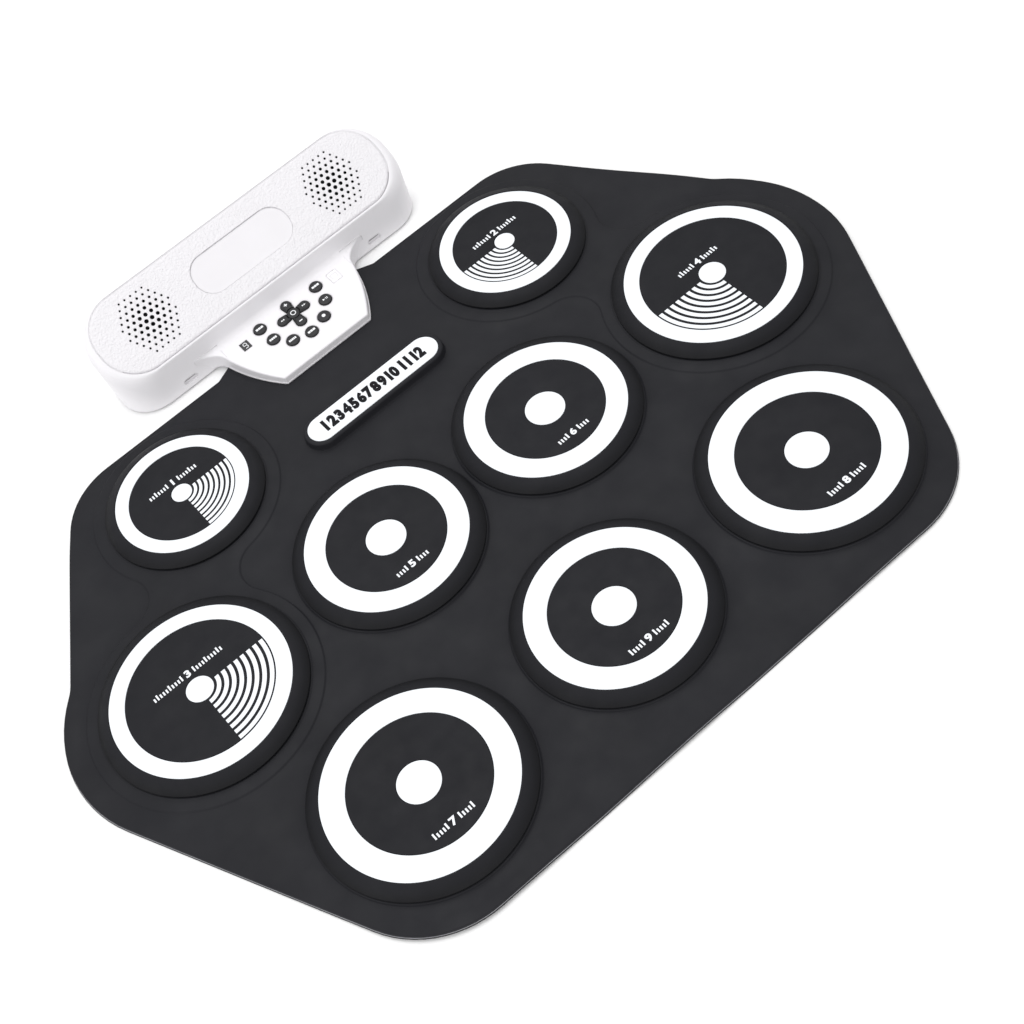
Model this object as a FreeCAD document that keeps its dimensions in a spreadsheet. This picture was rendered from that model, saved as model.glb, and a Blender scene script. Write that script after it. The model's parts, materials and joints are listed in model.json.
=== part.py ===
import FreeCAD, Part
import math
import os
import re

import Sketcher
from FreeCAD import Placement, Rotation, Vector

# Roll-up electronic drum pad: a silicone mat with nine raised pads, and a speaker
# and control console that grips the neck of the mat.
# Frame: X along the player's left to right, Y from the player to the console, Z up.
# The origin is on the table, under the middle of the whole object.

doc = FreeCAD.newDocument("DrumPad")
sheet = doc.addObject("Spreadsheet::Sheet", "Sizes")

SIZES = {
    # mat outline
    "mat_width": 595.0,
    "overall_depth": 500.0,
    "mat_back_y": 178.5,
    "front_flank_angle": -25.2,
    "back_flank_angle": 29.7,
    "flank_inset": 4.2,
    "flank_blend": 30.0,
    "front_corner": 66.0,
    "back_corner": 52.0,
    "neck_half": 56.0,
    "neck_shoulder": 68.0,
    "neck_step_y": 184.0,
    "neck_end_y": 188.0,
    # sheets of the mat
    "base_sheet_thick": 1.0,
    "film_thick": 0.2,
    "mat_top": 3.0,
    "platform_top": 4.0,
    "boss_top": 4.7,
    # pads
    "pad_top": 11.3,
    "rim_bottom": 5.6,
    "rim_top": 6.6,
    "plug_bottom": 2.7,
    "flat_margin": 0.9,
    "rim_margin": 9.2,
    "plug_inset": 8.5,
    "well_inset": 8.0,
    "boss_margin": 9.9,
    "crash_x": 137.25,
    "crash_y": 110.9,
    "ride_x": 206.9,
    "ride_y": -21.1,
    "tom_x": 64.3,
    "tom_y": -20.9,
    "floor_x": 148.0,
    "floor_y": -165.7,
    "bass_y": -161.2,
    "crash_ring": 45.7,
    "ride_ring": 57.6,
    "tom_ring": 52.5,
    "floor_ring": 58.0,
    "bass_ring": 53.3,
    "crash_platform": 64.0,
    "ride_platform": 75.0,
    "platform_fillet": 21.0,
    # sensors and film
    "sensor_radius": 17.5,
    "sensor_thick": 0.6,
    "film_disc": 26.0,
    "film_track": 12.0,
    "film_spine": 20.0,
    "film_clearance": 0.3,
    # badge
    "badge_y": 82.0,
    "badge_length": 112.0,
    "badge_width": 27.0,
    "badge_top": 8.6,
    "badge_recess": 0.6,
    "plate_length": 105.0,
    "plate_width": 21.0,
    "plate_top": 9.0,
    # console body
    "body_bottom": 1.2,
    "body_half": 124.8,
    "body_front_y": 190.0,
    "body_round": 25.0,
    "base_round": 1.4,
    "wall": 2.5,
    "face_half": 120.7,
    "face_width": 60.4,
    "face_round": 28.0,
    "face_y": 219.3,
    "face_z": 47.0,
    "face_tilt": 34.0,
    "rim_drop": 0.5,
    "shoulder_half": 126.6,
    "shoulder_depth": 7.0,
    "rim_wall": 1.0,
    "ledge_wall": 3.6,
    "cover_thick": 3.0,
    "cover_gap": 0.2,
    "cover_round": 1.6,
    "recess_length": 79.0,
    "recess_width": 29.0,
    "recess_depth": 0.5,
    # grilles
    "speaker_x": 78.5,
    "hole_pitch": 4.74,
    "row_pitch": 4.05,
    "hole_middle": 3.2,
    "hole_outer": 1.45,
    # tongue with the keys
    "tongue_front_y": 137.0,
    "tongue_front_z": 9.0,
    "tongue_slope": 6.2,
    "tongue_front_half": 35.6,
    "tongue_wide_half": 55.5,
    "tongue_wide_y": 182.0,
    "tongue_root_half": 59.0,
    "tongue_bulge": 2.4,
    "tongue_corner": 1.5,
    "tongue_wide_corner": 6.0,
    "tongue_root_round": 5.0,
    "tongue_edge_round": 1.0,
    "tongue_wall": 2.0,
    "tongue_top_wall": 1.8,
    # keys
    "key_radius": 4.55,
    "petal_radius": 3.8,
    "petal_inner_half": 2.9,
    "petal_inner_radius": 5.0,
    "middle_key_radius": 4.5,
    "key_gap": 0.4,
    "key_top": 1.3,
    "key_bottom": 2.6,
    "key_flange": 0.7,
    "flange_margin": 1.0,
    "key_arc_y": 178.2,
    "key_arc_radius": 24.6,
    "key_arc_pitch": 33.0,
    "cross_y": 175.3,
    "cross_reach": 9.2,
    "dome_top": 3.5,
    "dome_sheet_top": 4.0,
    "board_top": 4.4,
    "board_bottom": 5.4,
    "display_x": 39.1,
    "display_y": 178.6,
    "display_width": 6.2,
    "display_length": 7.2,
    "indicator_y": 180.0,
    "indicator_width": 7.5,
    "indicator_length": 9.0,
    "window_gap": 0.2,
    "cap_round": 0.5,
    "key_mat_front_y": 148.0,
    "key_mat_back_y": 190.0,
    "key_mat_half": 31.0,
    "key_board_front_half": 37.0,
    "key_board_back_half": 45.0,
    # inside the console
    "cover_floor": 1.2,
    "cover_floor_top": 3.2,
    "board_z": 6.0,
    "board_thick": 1.6,
    "board_half": 50.0,
    "board_front_y": 198.0,
    "board_back_y": 246.0,
    "foot_radius": 6.0,
    "foot_x": 104.0,
    "screw_shank": 1.4,
    "screw_hole": 1.5,
    "screw_head": 2.6,
    "screw_clearance": 1.6,
    "screw_recess": 2.8,
    "corner_post_x": 112.7,
    "corner_post_front_y": 202.0,
    "corner_post_back_y": 238.0,
    "corner_post_radius": 4.6,
    "neck_post_radius": 3.0,
    "neck_boss_radius": 3.4,
    "clamp_half": 52.0,
    "neck_front_x": 30.0,
    "neck_front_y": 143.5,
    "neck_back_x": 49.5,
    "neck_back_y": 183.0,
    "board_post_x": 44.0,
    "board_post_front_y": 203.0,
    "board_post_back_y": 228.0,
    "board_post_radius": 3.0,
    "foot_front_y": 206.0,
    "foot_back_y": 234.0,
    # long dents low in the front wall
    "dent_x": 80.5,
    "dent_z": 7.4,
    "dent_length": 10.5,
    "dent_height": 3.6,
    # rear connectors
    "port_z": 10.8,
    "port_mouth_y": 249.0,
    "jack_bore": 1.8,
    "jack_depth": 12.5,
    "jack_nose": 3.0,
    "jack_hole": 3.3,
    "usb_x": -8.0,
    "switch_x": 38.0,
    "switch_slot": 10.0,
}

for row, (alias, number) in enumerate(SIZES.items(), start=1):
    sheet.set(f"A{row}", alias.replace("_", " "))
    sheet.set(f"B{row}", str(number))
    sheet.setAlias(f"B{row}", alias)
doc.recompute()

nodes = {}


# ---------------------------------------------------------------- small helpers

def bound(expression):
    """The expression with each alias written as a cell of the sheet."""
    def cell(match):
        word = match.group(0)
        return f"Sizes.{word}" if word in SIZES else word
    return re.sub(r"[a-z][a-z_]*", cell, str(expression))


def size(expression):
    """The value that an expression over the sheet has now."""
    return float(sheet.evalExpression(bound(expression)))


def keep(node, thing):
    """Name a finished piece, which is then written to its own file."""
    thing.Label = node
    nodes[node] = thing
    return thing


def body_named(name):
    return doc.addObject("PartDesign::Body", name)


def origin_plane(body, role):
    return next(f for f in body.Origin.OriginFeatures if f.Role == role)


def sketch_on(body, role, lift=0.0, tilt=0.0, shift_y=0.0):
    """An empty sketch on one of the body's own planes, raised and tilted about X."""
    sketch = body.newObject("Sketcher::SketchObject", body.Name + "_sketch")
    sketch.AttachmentSupport = (origin_plane(body, role), [""])
    sketch.MapMode = "FlatFace"
    offset = Placement(Vector(0, shift_y, lift), Rotation(Vector(1, 0, 0), tilt))
    sketch.AttachmentOffset = offset
    return sketch


def polygon_sketch(body, role, corners):
    """A closed polygon whose corners are pairs of expressions over the sheet."""
    sketch = sketch_on(body, role)
    places = [(size(x), size(y)) for x, y in corners]
    count = len(places)
    for i in range(count):
        start = Vector(*places[i], 0)
        end = Vector(*places[(i + 1) % count], 0)
        sketch.addGeometry(Part.LineSegment(start, end), False)
    for i in range(count):
        sketch.addConstraint(Sketcher.Constraint("Coincident", i, 2, (i + 1) % count, 1))
    for i, corner in enumerate(corners):
        for kind, axis in (("DistanceX", 0), ("DistanceY", 1)):
            place = Sketcher.Constraint(kind, -1, 1, i, 1, places[i][axis])
            index = sketch.addConstraint(place)
            sketch.setExpression(f"Constraints[{index}]", bound(corner[axis]))
    return sketch


def circles_sketch(body, circles, lift=0.0):
    """Circles as (x, y, radius), each an expression over the sheet."""
    sketch = sketch_on(body, "XY_Plane", lift)
    for i, (x, y, radius) in enumerate(circles):
        centre = Vector(size(x), size(y), 0)
        sketch.addGeometry(Part.Circle(centre, Vector(0, 0, 1), size(radius)), False)
        rules = (
            (Sketcher.Constraint("Radius", i, size(radius)), radius),
            (Sketcher.Constraint("DistanceX", -1, 1, i, 3, centre.x), x),
            (Sketcher.Constraint("DistanceY", -1, 1, i, 3, centre.y), y),
        )
        for rule, expression in rules:
            index = sketch.addConstraint(rule)
            sketch.setExpression(f"Constraints[{index}]", bound(expression))
    return sketch


def edges_sketch(body, edges, lift=0.0, tilt=0.0, shift_y=0.0):
    """A sketch that holds an outline worked out by a function."""
    sketch = sketch_on(body, "XY_Plane", lift, tilt, shift_y)
    sketch.addGeometry(edges, False)
    return sketch


def pad(body, sketch, length, reversed_pad=False):
    feature = body.newObject("PartDesign::Pad", body.Name + "_pad")
    feature.Profile = sketch
    feature.Reversed = reversed_pad
    feature.setExpression("Length", bound(length))
    doc.recompute()
    return feature


def pocket(body, sketch, length, upwards=False):
    """A pocket that cuts down from its sketch, or up when upwards is set."""
    feature = body.newObject("PartDesign::Pocket", body.Name + "_pocket")
    feature.Profile = sketch
    feature.Reversed = upwards
    feature.setExpression("Length", bound(length))
    before = body.Shape.Volume
    doc.recompute()
    if body.Shape.Volume > before - 0.01:
        raise ValueError(f"{feature.Name} cuts nothing")
    return feature


def revolve(body, corners):
    """A full turn about the body's Z axis of a profile given as (radius, height)."""
    profile = polygon_sketch(body, "XZ_Plane", corners)
    feature = body.newObject("PartDesign::Revolution", body.Name + "_turn")
    feature.Profile = profile
    feature.ReferenceAxis = (profile, ["V_Axis"])
    feature.Angle = 360
    doc.recompute()
    return feature


def loft(body, sections):
    """Straight walls from each sketch of a stack to the next."""
    feature = body.newObject("PartDesign::AdditiveLoft", body.Name + "_loft")
    feature.Profile = sections[0]
    feature.Sections = sections[1:]
    feature.Ruled = True
    doc.recompute()
    return feature


def prism(name, edges, lift, length, tilt=0.0, shift_y=0.0):
    """A body padded from an outline, upwards from the height lift."""
    body = body_named(name)
    sketch = edges_sketch(body, edges, size(lift), tilt, size(shift_y))
    pad(body, sketch, length)
    return body


def box(name, low, lengths, frame=None):
    """A Part::Box from its low corner and lengths, all expressions."""
    thing = doc.addObject("Part::Box", name)
    for side, length in zip(("Length", "Width", "Height"), lengths):
        thing.setExpression(side, bound(length))
    if frame is None:
        for axis, place in zip("xyz", low):
            thing.setExpression(f"Placement.Base.{axis}", bound(place))
    else:
        thing.Placement = frame * Placement(Vector(*[size(v) for v in low]), Rotation())
    return thing


def cylinder(name, radius, length, place, turn=None, frame=None):
    """A Part::Cylinder that starts at place and runs along its turned axis."""
    thing = doc.addObject("Part::Cylinder", name)
    thing.setExpression("Radius", bound(radius))
    thing.setExpression("Height", bound(length))
    local = Placement(Vector(*[size(v) for v in place]), turn or Rotation())
    thing.Placement = frame * local if frame else local
    return thing


def fuse(name, things):
    joined = doc.addObject("Part::MultiFuse", name)
    joined.Shapes = things
    joined.Refine = True
    doc.recompute()
    return joined


def cut(name, base, tools):
    result = doc.addObject("Part::Cut", name)
    result.Base = base
    result.Tool = tools[0] if len(tools) == 1 else fuse(name + "_tools", tools)
    result.Refine = True
    doc.recompute()
    return result


def common(name, base, tool):
    result = doc.addObject("Part::Common", name)
    result.Base = base
    result.Tool = tool
    doc.recompute()
    return result


def rounded(name, base, radius, chosen):
    """Round the edges of base whose boxes pass the test called chosen."""
    result = doc.addObject("Part::Fillet", name)
    result.Base = base
    reach = size(radius)
    result.Edges = [(index, reach, reach) for index, edge in enumerate(base.Shape.Edges, start=1)
                    if chosen(edge.BoundBox)]
    doc.recompute()
    return result


def group(name, things):
    """Identical separate solids that share one node."""
    bundle = doc.addObject("Part::Compound", name)
    bundle.Links = things
    doc.recompute()
    return bundle


BACKWARDS = Rotation(Vector(1, 0, 0), -90)
BOARD_FACE = "board_z + board_thick"
# how far round the shoulder each section of the console's outer walls lies, in degrees
SHOULDER_ANGLES = (0, 18, 36, 54, 72, 90)


# ---------------------------------------------------------------- outlines

def line(x1, y1, x2, y2):
    return Part.LineSegment(Vector(x1, y1, 0), Vector(x2, y2, 0))


def arc(x, y, radius, start, end):
    """A counter-clockwise arc, with its angles in degrees."""
    circle = Part.Circle(Vector(x, y, 0), Vector(0, 0, 1), radius)
    return Part.ArcOfCircle(circle, math.radians(start), math.radians(end))


def mirrored(edges):
    """The same edges on the other side of the Y axis."""
    other = []
    for edge in edges:
        if isinstance(edge, Part.LineSegment):
            a, b = edge.StartPoint, edge.EndPoint
            other.append(line(-a.x, a.y, -b.x, b.y))
        else:
            start = 180 - math.degrees(edge.LastParameter)
            end = 180 - math.degrees(edge.FirstParameter)
            other.append(arc(-edge.Center.x, edge.Center.y, edge.Radius, start, end))
    return other


def along(angle):
    return Vector(math.cos(math.radians(angle)), math.sin(math.radians(angle)), 0)


def mat_outline(with_neck):
    """Front edge, flank, bump round the ride pad, back flank and back edge."""
    front = -size("overall_depth") / 2
    back = size("mat_back_y")
    ride = Vector(size("ride_x"), size("ride_y"), 0)
    bump = size("mat_width") / 2 - ride.x

    low_angle = size("front_flank_angle")
    low_touch = ride + along(low_angle) * bump
    front_round = size("front_corner")
    # the corner arc touches the front edge and the flank that leaves the bump
    low_offset = along(low_angle).dot(low_touch) - front_round
    front_centre_x = low_offset / along(low_angle).x
    front_centre_x -= (front + front_round) * along(low_angle).y / along(low_angle).x
    front_centre = Vector(front_centre_x, front + front_round, 0)
    front_end = front_centre + along(low_angle) * front_round

    high_angle = size("back_flank_angle")
    blend = size("flank_blend")
    reach = bump - size("flank_inset")
    slide = math.sqrt((bump + blend) ** 2 - (reach + blend) ** 2)
    blend_centre = ride + along(high_angle) * (reach + blend) + along(high_angle + 90) * slide
    touch_angle = high_angle + math.degrees(math.atan2(slide, reach + blend))
    blend_end = blend_centre - along(high_angle) * blend

    back_round = size("back_corner")
    offset = along(high_angle).dot(blend_end) - back_round
    back_centre_y = back - back_round
    back_centre_x = (offset - back_centre_y * along(high_angle).y) / along(high_angle).x
    back_centre = Vector(back_centre_x, back_centre_y, 0)
    back_start = back_centre + along(high_angle) * back_round

    edges = [
        line(0, front, front_centre.x, front),
        arc(front_centre.x, front_centre.y, front_round, -90, low_angle),
        line(front_end.x, front_end.y, low_touch.x, low_touch.y),
        arc(ride.x, ride.y, bump, low_angle, touch_angle),
        arc(blend_centre.x, blend_centre.y, blend, high_angle + 180, touch_angle + 180),
        line(blend_end.x, blend_end.y, back_start.x, back_start.y),
        arc(back_centre.x, back_centre.y, back_round, high_angle, 90),
    ]
    if with_neck:
        shoulder = size("neck_shoulder")
        half = size("neck_half")
        step = size("neck_step_y")
        end = size("neck_end_y")
        edges += [
            line(back_centre.x, back, shoulder, back),
            line(shoulder, back, half, step),
            line(half, step, half, end),
            line(half, end, 0, end),
        ]
    else:
        edges.append(line(back_centre.x, back, 0, back))
    return edges + mirrored(edges)


def platform_outline():
    """Two circles round the right-hand cymbal pads, joined by a waisted neck."""
    crash = Vector(size("crash_x"), size("crash_y"), 0)
    ride = Vector(size("ride_x"), size("ride_y"), 0)
    crash_r, ride_r = size("crash_platform"), size("ride_platform")
    fillet = size("platform_fillet")
    gap = ride - crash
    to_crash, to_ride = crash_r + fillet, ride_r + fillet
    shift = (to_crash ** 2 - to_ride ** 2 + gap.Length ** 2) / (2 * gap.Length)
    rise = math.sqrt(to_crash ** 2 - shift ** 2)
    heading = math.degrees(math.atan2(gap.y, gap.x))
    outer = crash + along(heading) * shift + along(heading + 90) * rise
    inner = crash + along(heading) * shift + along(heading - 90) * rise
    crash_half = math.degrees(math.atan2(rise, shift))
    ride_half = math.degrees(math.atan2(rise, gap.Length - shift))
    back = heading + 180
    return [
        arc(crash.x, crash.y, crash_r, heading + crash_half, heading + 360 - crash_half),
        arc(ride.x, ride.y, ride_r, back + ride_half, back + 360 - ride_half),
        arc(outer.x, outer.y, fillet, heading + 180 + crash_half, heading + 360 - ride_half),
        arc(inner.x, inner.y, fillet, heading + ride_half, heading + 180 - crash_half),
    ]


def rounded_rectangle(centre_x, centre_y, half_x, half_y, radius):
    left, right = centre_x - half_x, centre_x + half_x
    low, high = centre_y - half_y, centre_y + half_y
    return [
        line(left + radius, low, right - radius, low),
        arc(right - radius, low + radius, radius, -90, 0),
        line(right, low + radius, right, high - radius),
        arc(right - radius, high - radius, radius, 0, 90),
        line(right - radius, high, left + radius, high),
        arc(left + radius, high - radius, radius, 90, 180),
        line(left, high - radius, left, low + radius),
        arc(left + radius, low + radius, radius, 180, 270),
    ]


def pill(centre_x, centre_y, length, width):
    half, radius = length / 2, width / 2
    return [
        line(centre_x - half + radius, centre_y - radius, centre_x + half - radius, centre_y - radius),
        arc(centre_x + half - radius, centre_y, radius, -90, 90),
        line(centre_x + half - radius, centre_y + radius, centre_x - half + radius, centre_y + radius),
        arc(centre_x - half + radius, centre_y, radius, 90, 270),
    ]


def body_outline(inset):
    """The console's outline at the table."""
    front, back = size("body_front_y"), size("overall_depth") / 2
    half_y = (back - front) / 2 - inset
    radius = size("body_round") - inset
    return rounded_rectangle(0, (front + back) / 2, size("body_half") - inset, half_y, radius)


def face_outline(inset):
    """The console's outline in the plane of its tilted face."""
    half_y = size("face_width") / 2 - inset
    return rounded_rectangle(0, 0, size("face_half") - inset, half_y, size("face_round") - inset)


def wall_edges(drop, inset):
    """The front and back walls' places up the face, at a depth under the face."""
    edges = []
    for side, foot_y in ((-1, size("body_front_y")), (1, size("overall_depth") / 2)):
        foot = face_frame().inverse().multVec(Vector(0, foot_y, size("body_bottom")))
        top = Vector(0, side * size("face_width") / 2, 0)
        place = top + (foot - top) * (drop / -foot.z)
        edges.append(place.y - side * inset)
    return edges


def shoulder_outline(drop, swell, inset):
    """The console's outline at a depth under its face; swell is 1 where it is widest."""
    front, back = wall_edges(drop, inset)
    half = size("face_half") + (size("shoulder_half") - size("face_half")) * swell - inset
    middle = (front + back) / 2
    return rounded_rectangle(0, middle, half, (back - front) / 2, size("face_round") - inset)


def tongue_outline(inset, front_inset, end_y):
    """The control tongue seen from above: a front edge and two slightly bulging sides."""
    front = size("tongue_front_y") + front_inset
    wide_y = size("tongue_wide_y")
    start = Vector(size("tongue_front_half") - inset, front, 0)
    wide = Vector(size("tongue_wide_half") - inset, wide_y, 0)
    flare = (size("tongue_root_half") - size("tongue_wide_half")) / (size("body_front_y") - wide_y)
    root = Vector(wide.x + flare * (end_y - wide_y), end_y, 0)
    middle = (start + wide) * 0.5
    outwards = Vector(wide.y - start.y, start.x - wide.x, 0).normalize()
    crown = middle + outwards * size("tongue_bulge")
    side = Part.Arc(start, crown, wide).toShape().Curve
    centre, radius = side.Center, side.Radius
    first = math.degrees(math.atan2(start.y - centre.y, start.x - centre.x))
    last = math.degrees(math.atan2(wide.y - centre.y, wide.x - centre.x))
    edges = [
        line(0, front, start.x, start.y),
        arc(centre.x, centre.y, radius, first, last),
        line(wide.x, wide.y, root.x, root.y),
        line(root.x, root.y, 0, root.y),
    ]
    return edges + mirrored(edges)


# ---------------------------------------------------------------- pads

PADS = {
    "left_crash_pad": ("-crash_x", "crash_y", "crash_ring"),
    "right_crash_pad": ("crash_x", "crash_y", "crash_ring"),
    "hi_hat_pad": ("-ride_x", "ride_y", "ride_ring"),
    "ride_pad": ("ride_x", "ride_y", "ride_ring"),
    "high_tom_pad": ("-tom_x", "tom_y", "tom_ring"),
    "low_tom_pad": ("tom_x", "tom_y", "tom_ring"),
    "snare_pad": ("-floor_x", "floor_y", "floor_ring"),
    "floor_tom_pad": ("floor_x", "floor_y", "floor_ring"),
    "bass_pad": ("0", "bass_y", "bass_ring"),
}


def make_pads():
    """Each pad is a bevelled disc with a plug that reaches down its well in the mat."""
    for node, (x, y, ring) in PADS.items():
        body = body_named(node)
        revolve(body, [
            ("0", "plug_bottom"),
            (f"{ring} - plug_inset", "plug_bottom"),
            (f"{ring} - plug_inset", "rim_bottom"),
            (f"{ring} + rim_margin", "rim_bottom"),
            (f"{ring} + rim_margin", "rim_top"),
            (f"{ring} + flat_margin", "pad_top"),
            ("0", "pad_top"),
        ])
        body.setExpression("Placement.Base.x", bound(x))
        body.setExpression("Placement.Base.y", bound(y))
        keep(node, body)


# ---------------------------------------------------------------- mat

def film_pieces(name, low, thick, extra):
    """The discs, tracks and spine of the sensor film, widened by extra."""
    pieces = []
    for index, (x, y, ring) in enumerate(PADS.values()):
        disc = f"film_disc + {extra}"
        pieces.append(cylinder(f"{name}_disc{index}", disc, thick, (x, y, low)))
    for index, (x, y) in enumerate((("crash_x", "crash_y"), ("ride_x", "ride_y"), ("floor_x", "floor_y"))):
        corner = (f"-{x}", f"{y} - film_track / 2 - {extra}", low)
        lengths = (f"2 * {x}", f"film_track + 2 * {extra}", thick)
        pieces.append(box(f"{name}_track{index}", corner, lengths))
    corner = (f"-film_spine / 2 - {extra}", "bass_y", low)
    lengths = (f"film_spine + 2 * {extra}", "neck_end_y - bass_y", thick)
    pieces.append(box(f"{name}_spine", corner, lengths))
    return pieces


def make_mat():
    """Base sheet, sensor film, sensor discs and the moulded top sheet."""
    plate_gap = size("film_clearance")
    plate_front = size("tongue_front_y") + size("tongue_wall")
    base = prism("base_sheet_blank", mat_outline(False), "0", "base_sheet_thick")
    notch_half = size("clamp_half") + plate_gap
    notch = box(
        "clamp_notch",
        (str(-notch_half), str(plate_front), "0"),
        (str(2 * notch_half), "100", "base_sheet_thick"),
    )
    keep("mat_base_sheet", cut("mat_base_sheet", base, [notch]))

    film = film_pieces("film", "base_sheet_thick", "film_thick", "0")
    tail = ribbon("film_tail", "film_spine", "0", [
        (size("neck_end_y") - 0.5, size("base_sheet_thick")),
        (size("body_front_y") + 1, size("base_sheet_thick")),
        (size("board_front_y") - 2, size(BOARD_FACE) + 1.0),
        (size("board_front_y") + 1, size(BOARD_FACE) + 1.0),
    ], size("film_thick"))
    keep("sensor_film", fuse("sensor_film", film + [tail]))

    discs = []
    for index, (x, y, ring) in enumerate(PADS.values()):
        place = (x, y, "base_sheet_thick + film_thick")
        discs.append(cylinder(f"sensor{index}", "sensor_radius", "sensor_thick", place))
    keep("sensor_discs", group("sensor_discs", discs))

    top = prism("top_sheet_blank", mat_outline(True), "base_sheet_thick", "mat_top - base_sheet_thick")
    for edges in (platform_outline(), mirrored(platform_outline())):
        pad(top, edges_sketch(top, edges, size("mat_top")), "platform_top - mat_top")
    spots = [(x, y, f"{ring} + boss_margin") for x, y, ring in PADS.values()]
    pad(top, circles_sketch(top, spots, size("mat_top")), "boss_top - mat_top")
    wells = [(x, y, f"{ring} - well_inset") for x, y, ring in PADS.values()]
    pocket(top, circles_sketch(top, wells, size("boss_top")), "boss_top")
    bosses = [(x, y, "neck_boss_radius") for x, y in neck_posts()]
    pocket(top, circles_sketch(top, bosses, size("mat_top")), "mat_top")
    relief = film_pieces("relief", "base_sheet_thick", "film_thick", "film_clearance")
    keep("mat_top_sheet", cut("mat_top_sheet", top, relief))


def ribbon(name, width, centre_x, path, thick):
    """A thin flat conductor: its side profile follows the path of (y, z) points."""
    upper = [Vector(0, y, z + thick) for y, z in reversed(path)]
    lower = [Vector(0, y, z) for y, z in path]
    outline = Part.makePolygon(lower + upper + [lower[0]])
    solid = Part.Face(outline).extrude(Vector(size(width), 0, 0))
    thing = doc.addObject("Part::Feature", name)
    thing.Shape = solid
    thing.Placement = Placement(Vector(size(centre_x) - size(width) / 2, 0, 0), Rotation())
    return thing


def make_badge():
    """A black rubber pill with a white plate let into its top."""
    y = size("badge_y")
    blank = body_named("badge_base_blank")
    outline = pill(0, y, size("badge_length"), size("badge_width"))
    first = pad(blank, edges_sketch(blank, outline, size("mat_top")), "badge_top - mat_top")
    chamfer = blank.newObject("PartDesign::Chamfer", "badge_edge")
    rim = [i for i, edge in enumerate(blank.Shape.Edges, start=1)
           if edge.BoundBox.ZMin > size("badge_top") - 0.01]
    chamfer.Base = (first, [f"Edge{i}" for i in rim])
    chamfer.Size = 1.2
    doc.recompute()
    gap = size("window_gap")
    recess = pill(0, y, size("plate_length") + gap, size("plate_width") + gap)
    pocket(blank, edges_sketch(blank, recess, size("badge_top")), "badge_recess")
    keep("badge_base", blank)
    plate = pill(0, y, size("plate_length"), size("plate_width"))
    keep("badge_plate", prism("badge_plate_blank", plate, "badge_top - badge_recess",
                              "plate_top - badge_top + badge_recess"))


# ---------------------------------------------------------------- console

def face_frame():
    """Where the face's own axes lie: Z leaves the face."""
    place = Vector(0, size("face_y"), size("face_z"))
    return Placement(place, Rotation(Vector(1, 0, 0), size("face_tilt")))


def tongue_frame():
    """Where the tongue's own axes lie: Y runs up its slope from the front edge."""
    place = Vector(0, size("tongue_front_y"), size("tongue_front_z"))
    return Placement(place, Rotation(Vector(1, 0, 0), size("tongue_slope")))


def up_the_slope(y):
    """The distance along the tongue's slope of a point at y."""
    return (size(y) - size("tongue_front_y")) / math.cos(math.radians(size("tongue_slope")))


def neck_posts():
    """The four screw posts that pin the neck of the mat under the tongue."""
    front = [(f"{sign}neck_front_x", "neck_front_y") for sign in ("-", "")]
    return front + [(f"{sign}neck_back_x", "neck_back_y") for sign in ("-", "")]


def shell_block(name, lift, inset, levels):
    """A block from the console's base outline up through levels under its tilted face.

    Each level is (depth under the face, swell, inset).
    """
    block = body_named(name)
    sections = [edges_sketch(block, body_outline(inset), lift)]
    for drop, swell, level_inset in levels:
        place = face_frame().multVec(Vector(0, 0, -drop))
        outline = shoulder_outline(drop, swell, level_inset)
        sections.append(edges_sketch(block, outline, place.z, size("face_tilt"), place.y))
    loft(block, sections)
    return block


def shoulder_levels():
    """Levels that carry the outer walls round the shoulder and in to the rim."""
    levels = []
    for angle in SHOULDER_ANGLES:
        turn = math.radians(angle)
        drop = size("rim_drop") + size("shoulder_depth") * (1 - math.sin(turn))
        levels.append((drop, math.cos(turn), 0))
    return levels


def tongue_block(name, inset, front_inset, top_drop, low, end_y):
    """The tongue's plan outline, cut off under its sloping top."""
    plan = prism(name + "_plan", tongue_outline(inset, front_inset, end_y), str(low), "30")
    slope = math.tan(math.radians(size("tongue_slope")))
    front = size("tongue_front_y") - 5
    height = size("tongue_front_z") - 5 * slope - top_drop
    run = end_y + 5 - front
    half = size("tongue_root_half") + 5
    side = [
        Vector(-half, front, low - 1), Vector(-half, end_y + 5, low - 1),
        Vector(-half, end_y + 5, height + run * slope), Vector(-half, front, height),
    ]
    wedge = doc.addObject("Part::Feature", name + "_wedge")
    wedge.Shape = Part.Face(Part.makePolygon(side + [side[0]])).extrude(Vector(2 * half, 0, 0))
    return common(name, plan, wedge)


def key_spots():
    """The round keys: name, place in the tongue's frame, cap radius, and whether flanged."""
    spots = []
    arc_names = ("kit_key", "rhythm_key", "demo_key", "metronome_key",
                 "record_key", "play_key", "tempo_key")
    for index, name in enumerate(arc_names):
        angle = -90 + (index - 3) * size("key_arc_pitch")
        spot = along(angle) * size("key_arc_radius")
        y = up_the_slope("key_arc_y") + spot.y
        spots.append((name, spot.x, y, "key_radius", True))
    spots.append(("power_key", 0.0, up_the_slope("cross_y"), "middle_key_radius", False))
    return spots


def petal_keys():
    """The four keys round the power key: name and heading from it."""
    return [("next_key", 0), ("volume_up_key", 90), ("previous_key", 180), ("volume_down_key", 270)]


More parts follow.
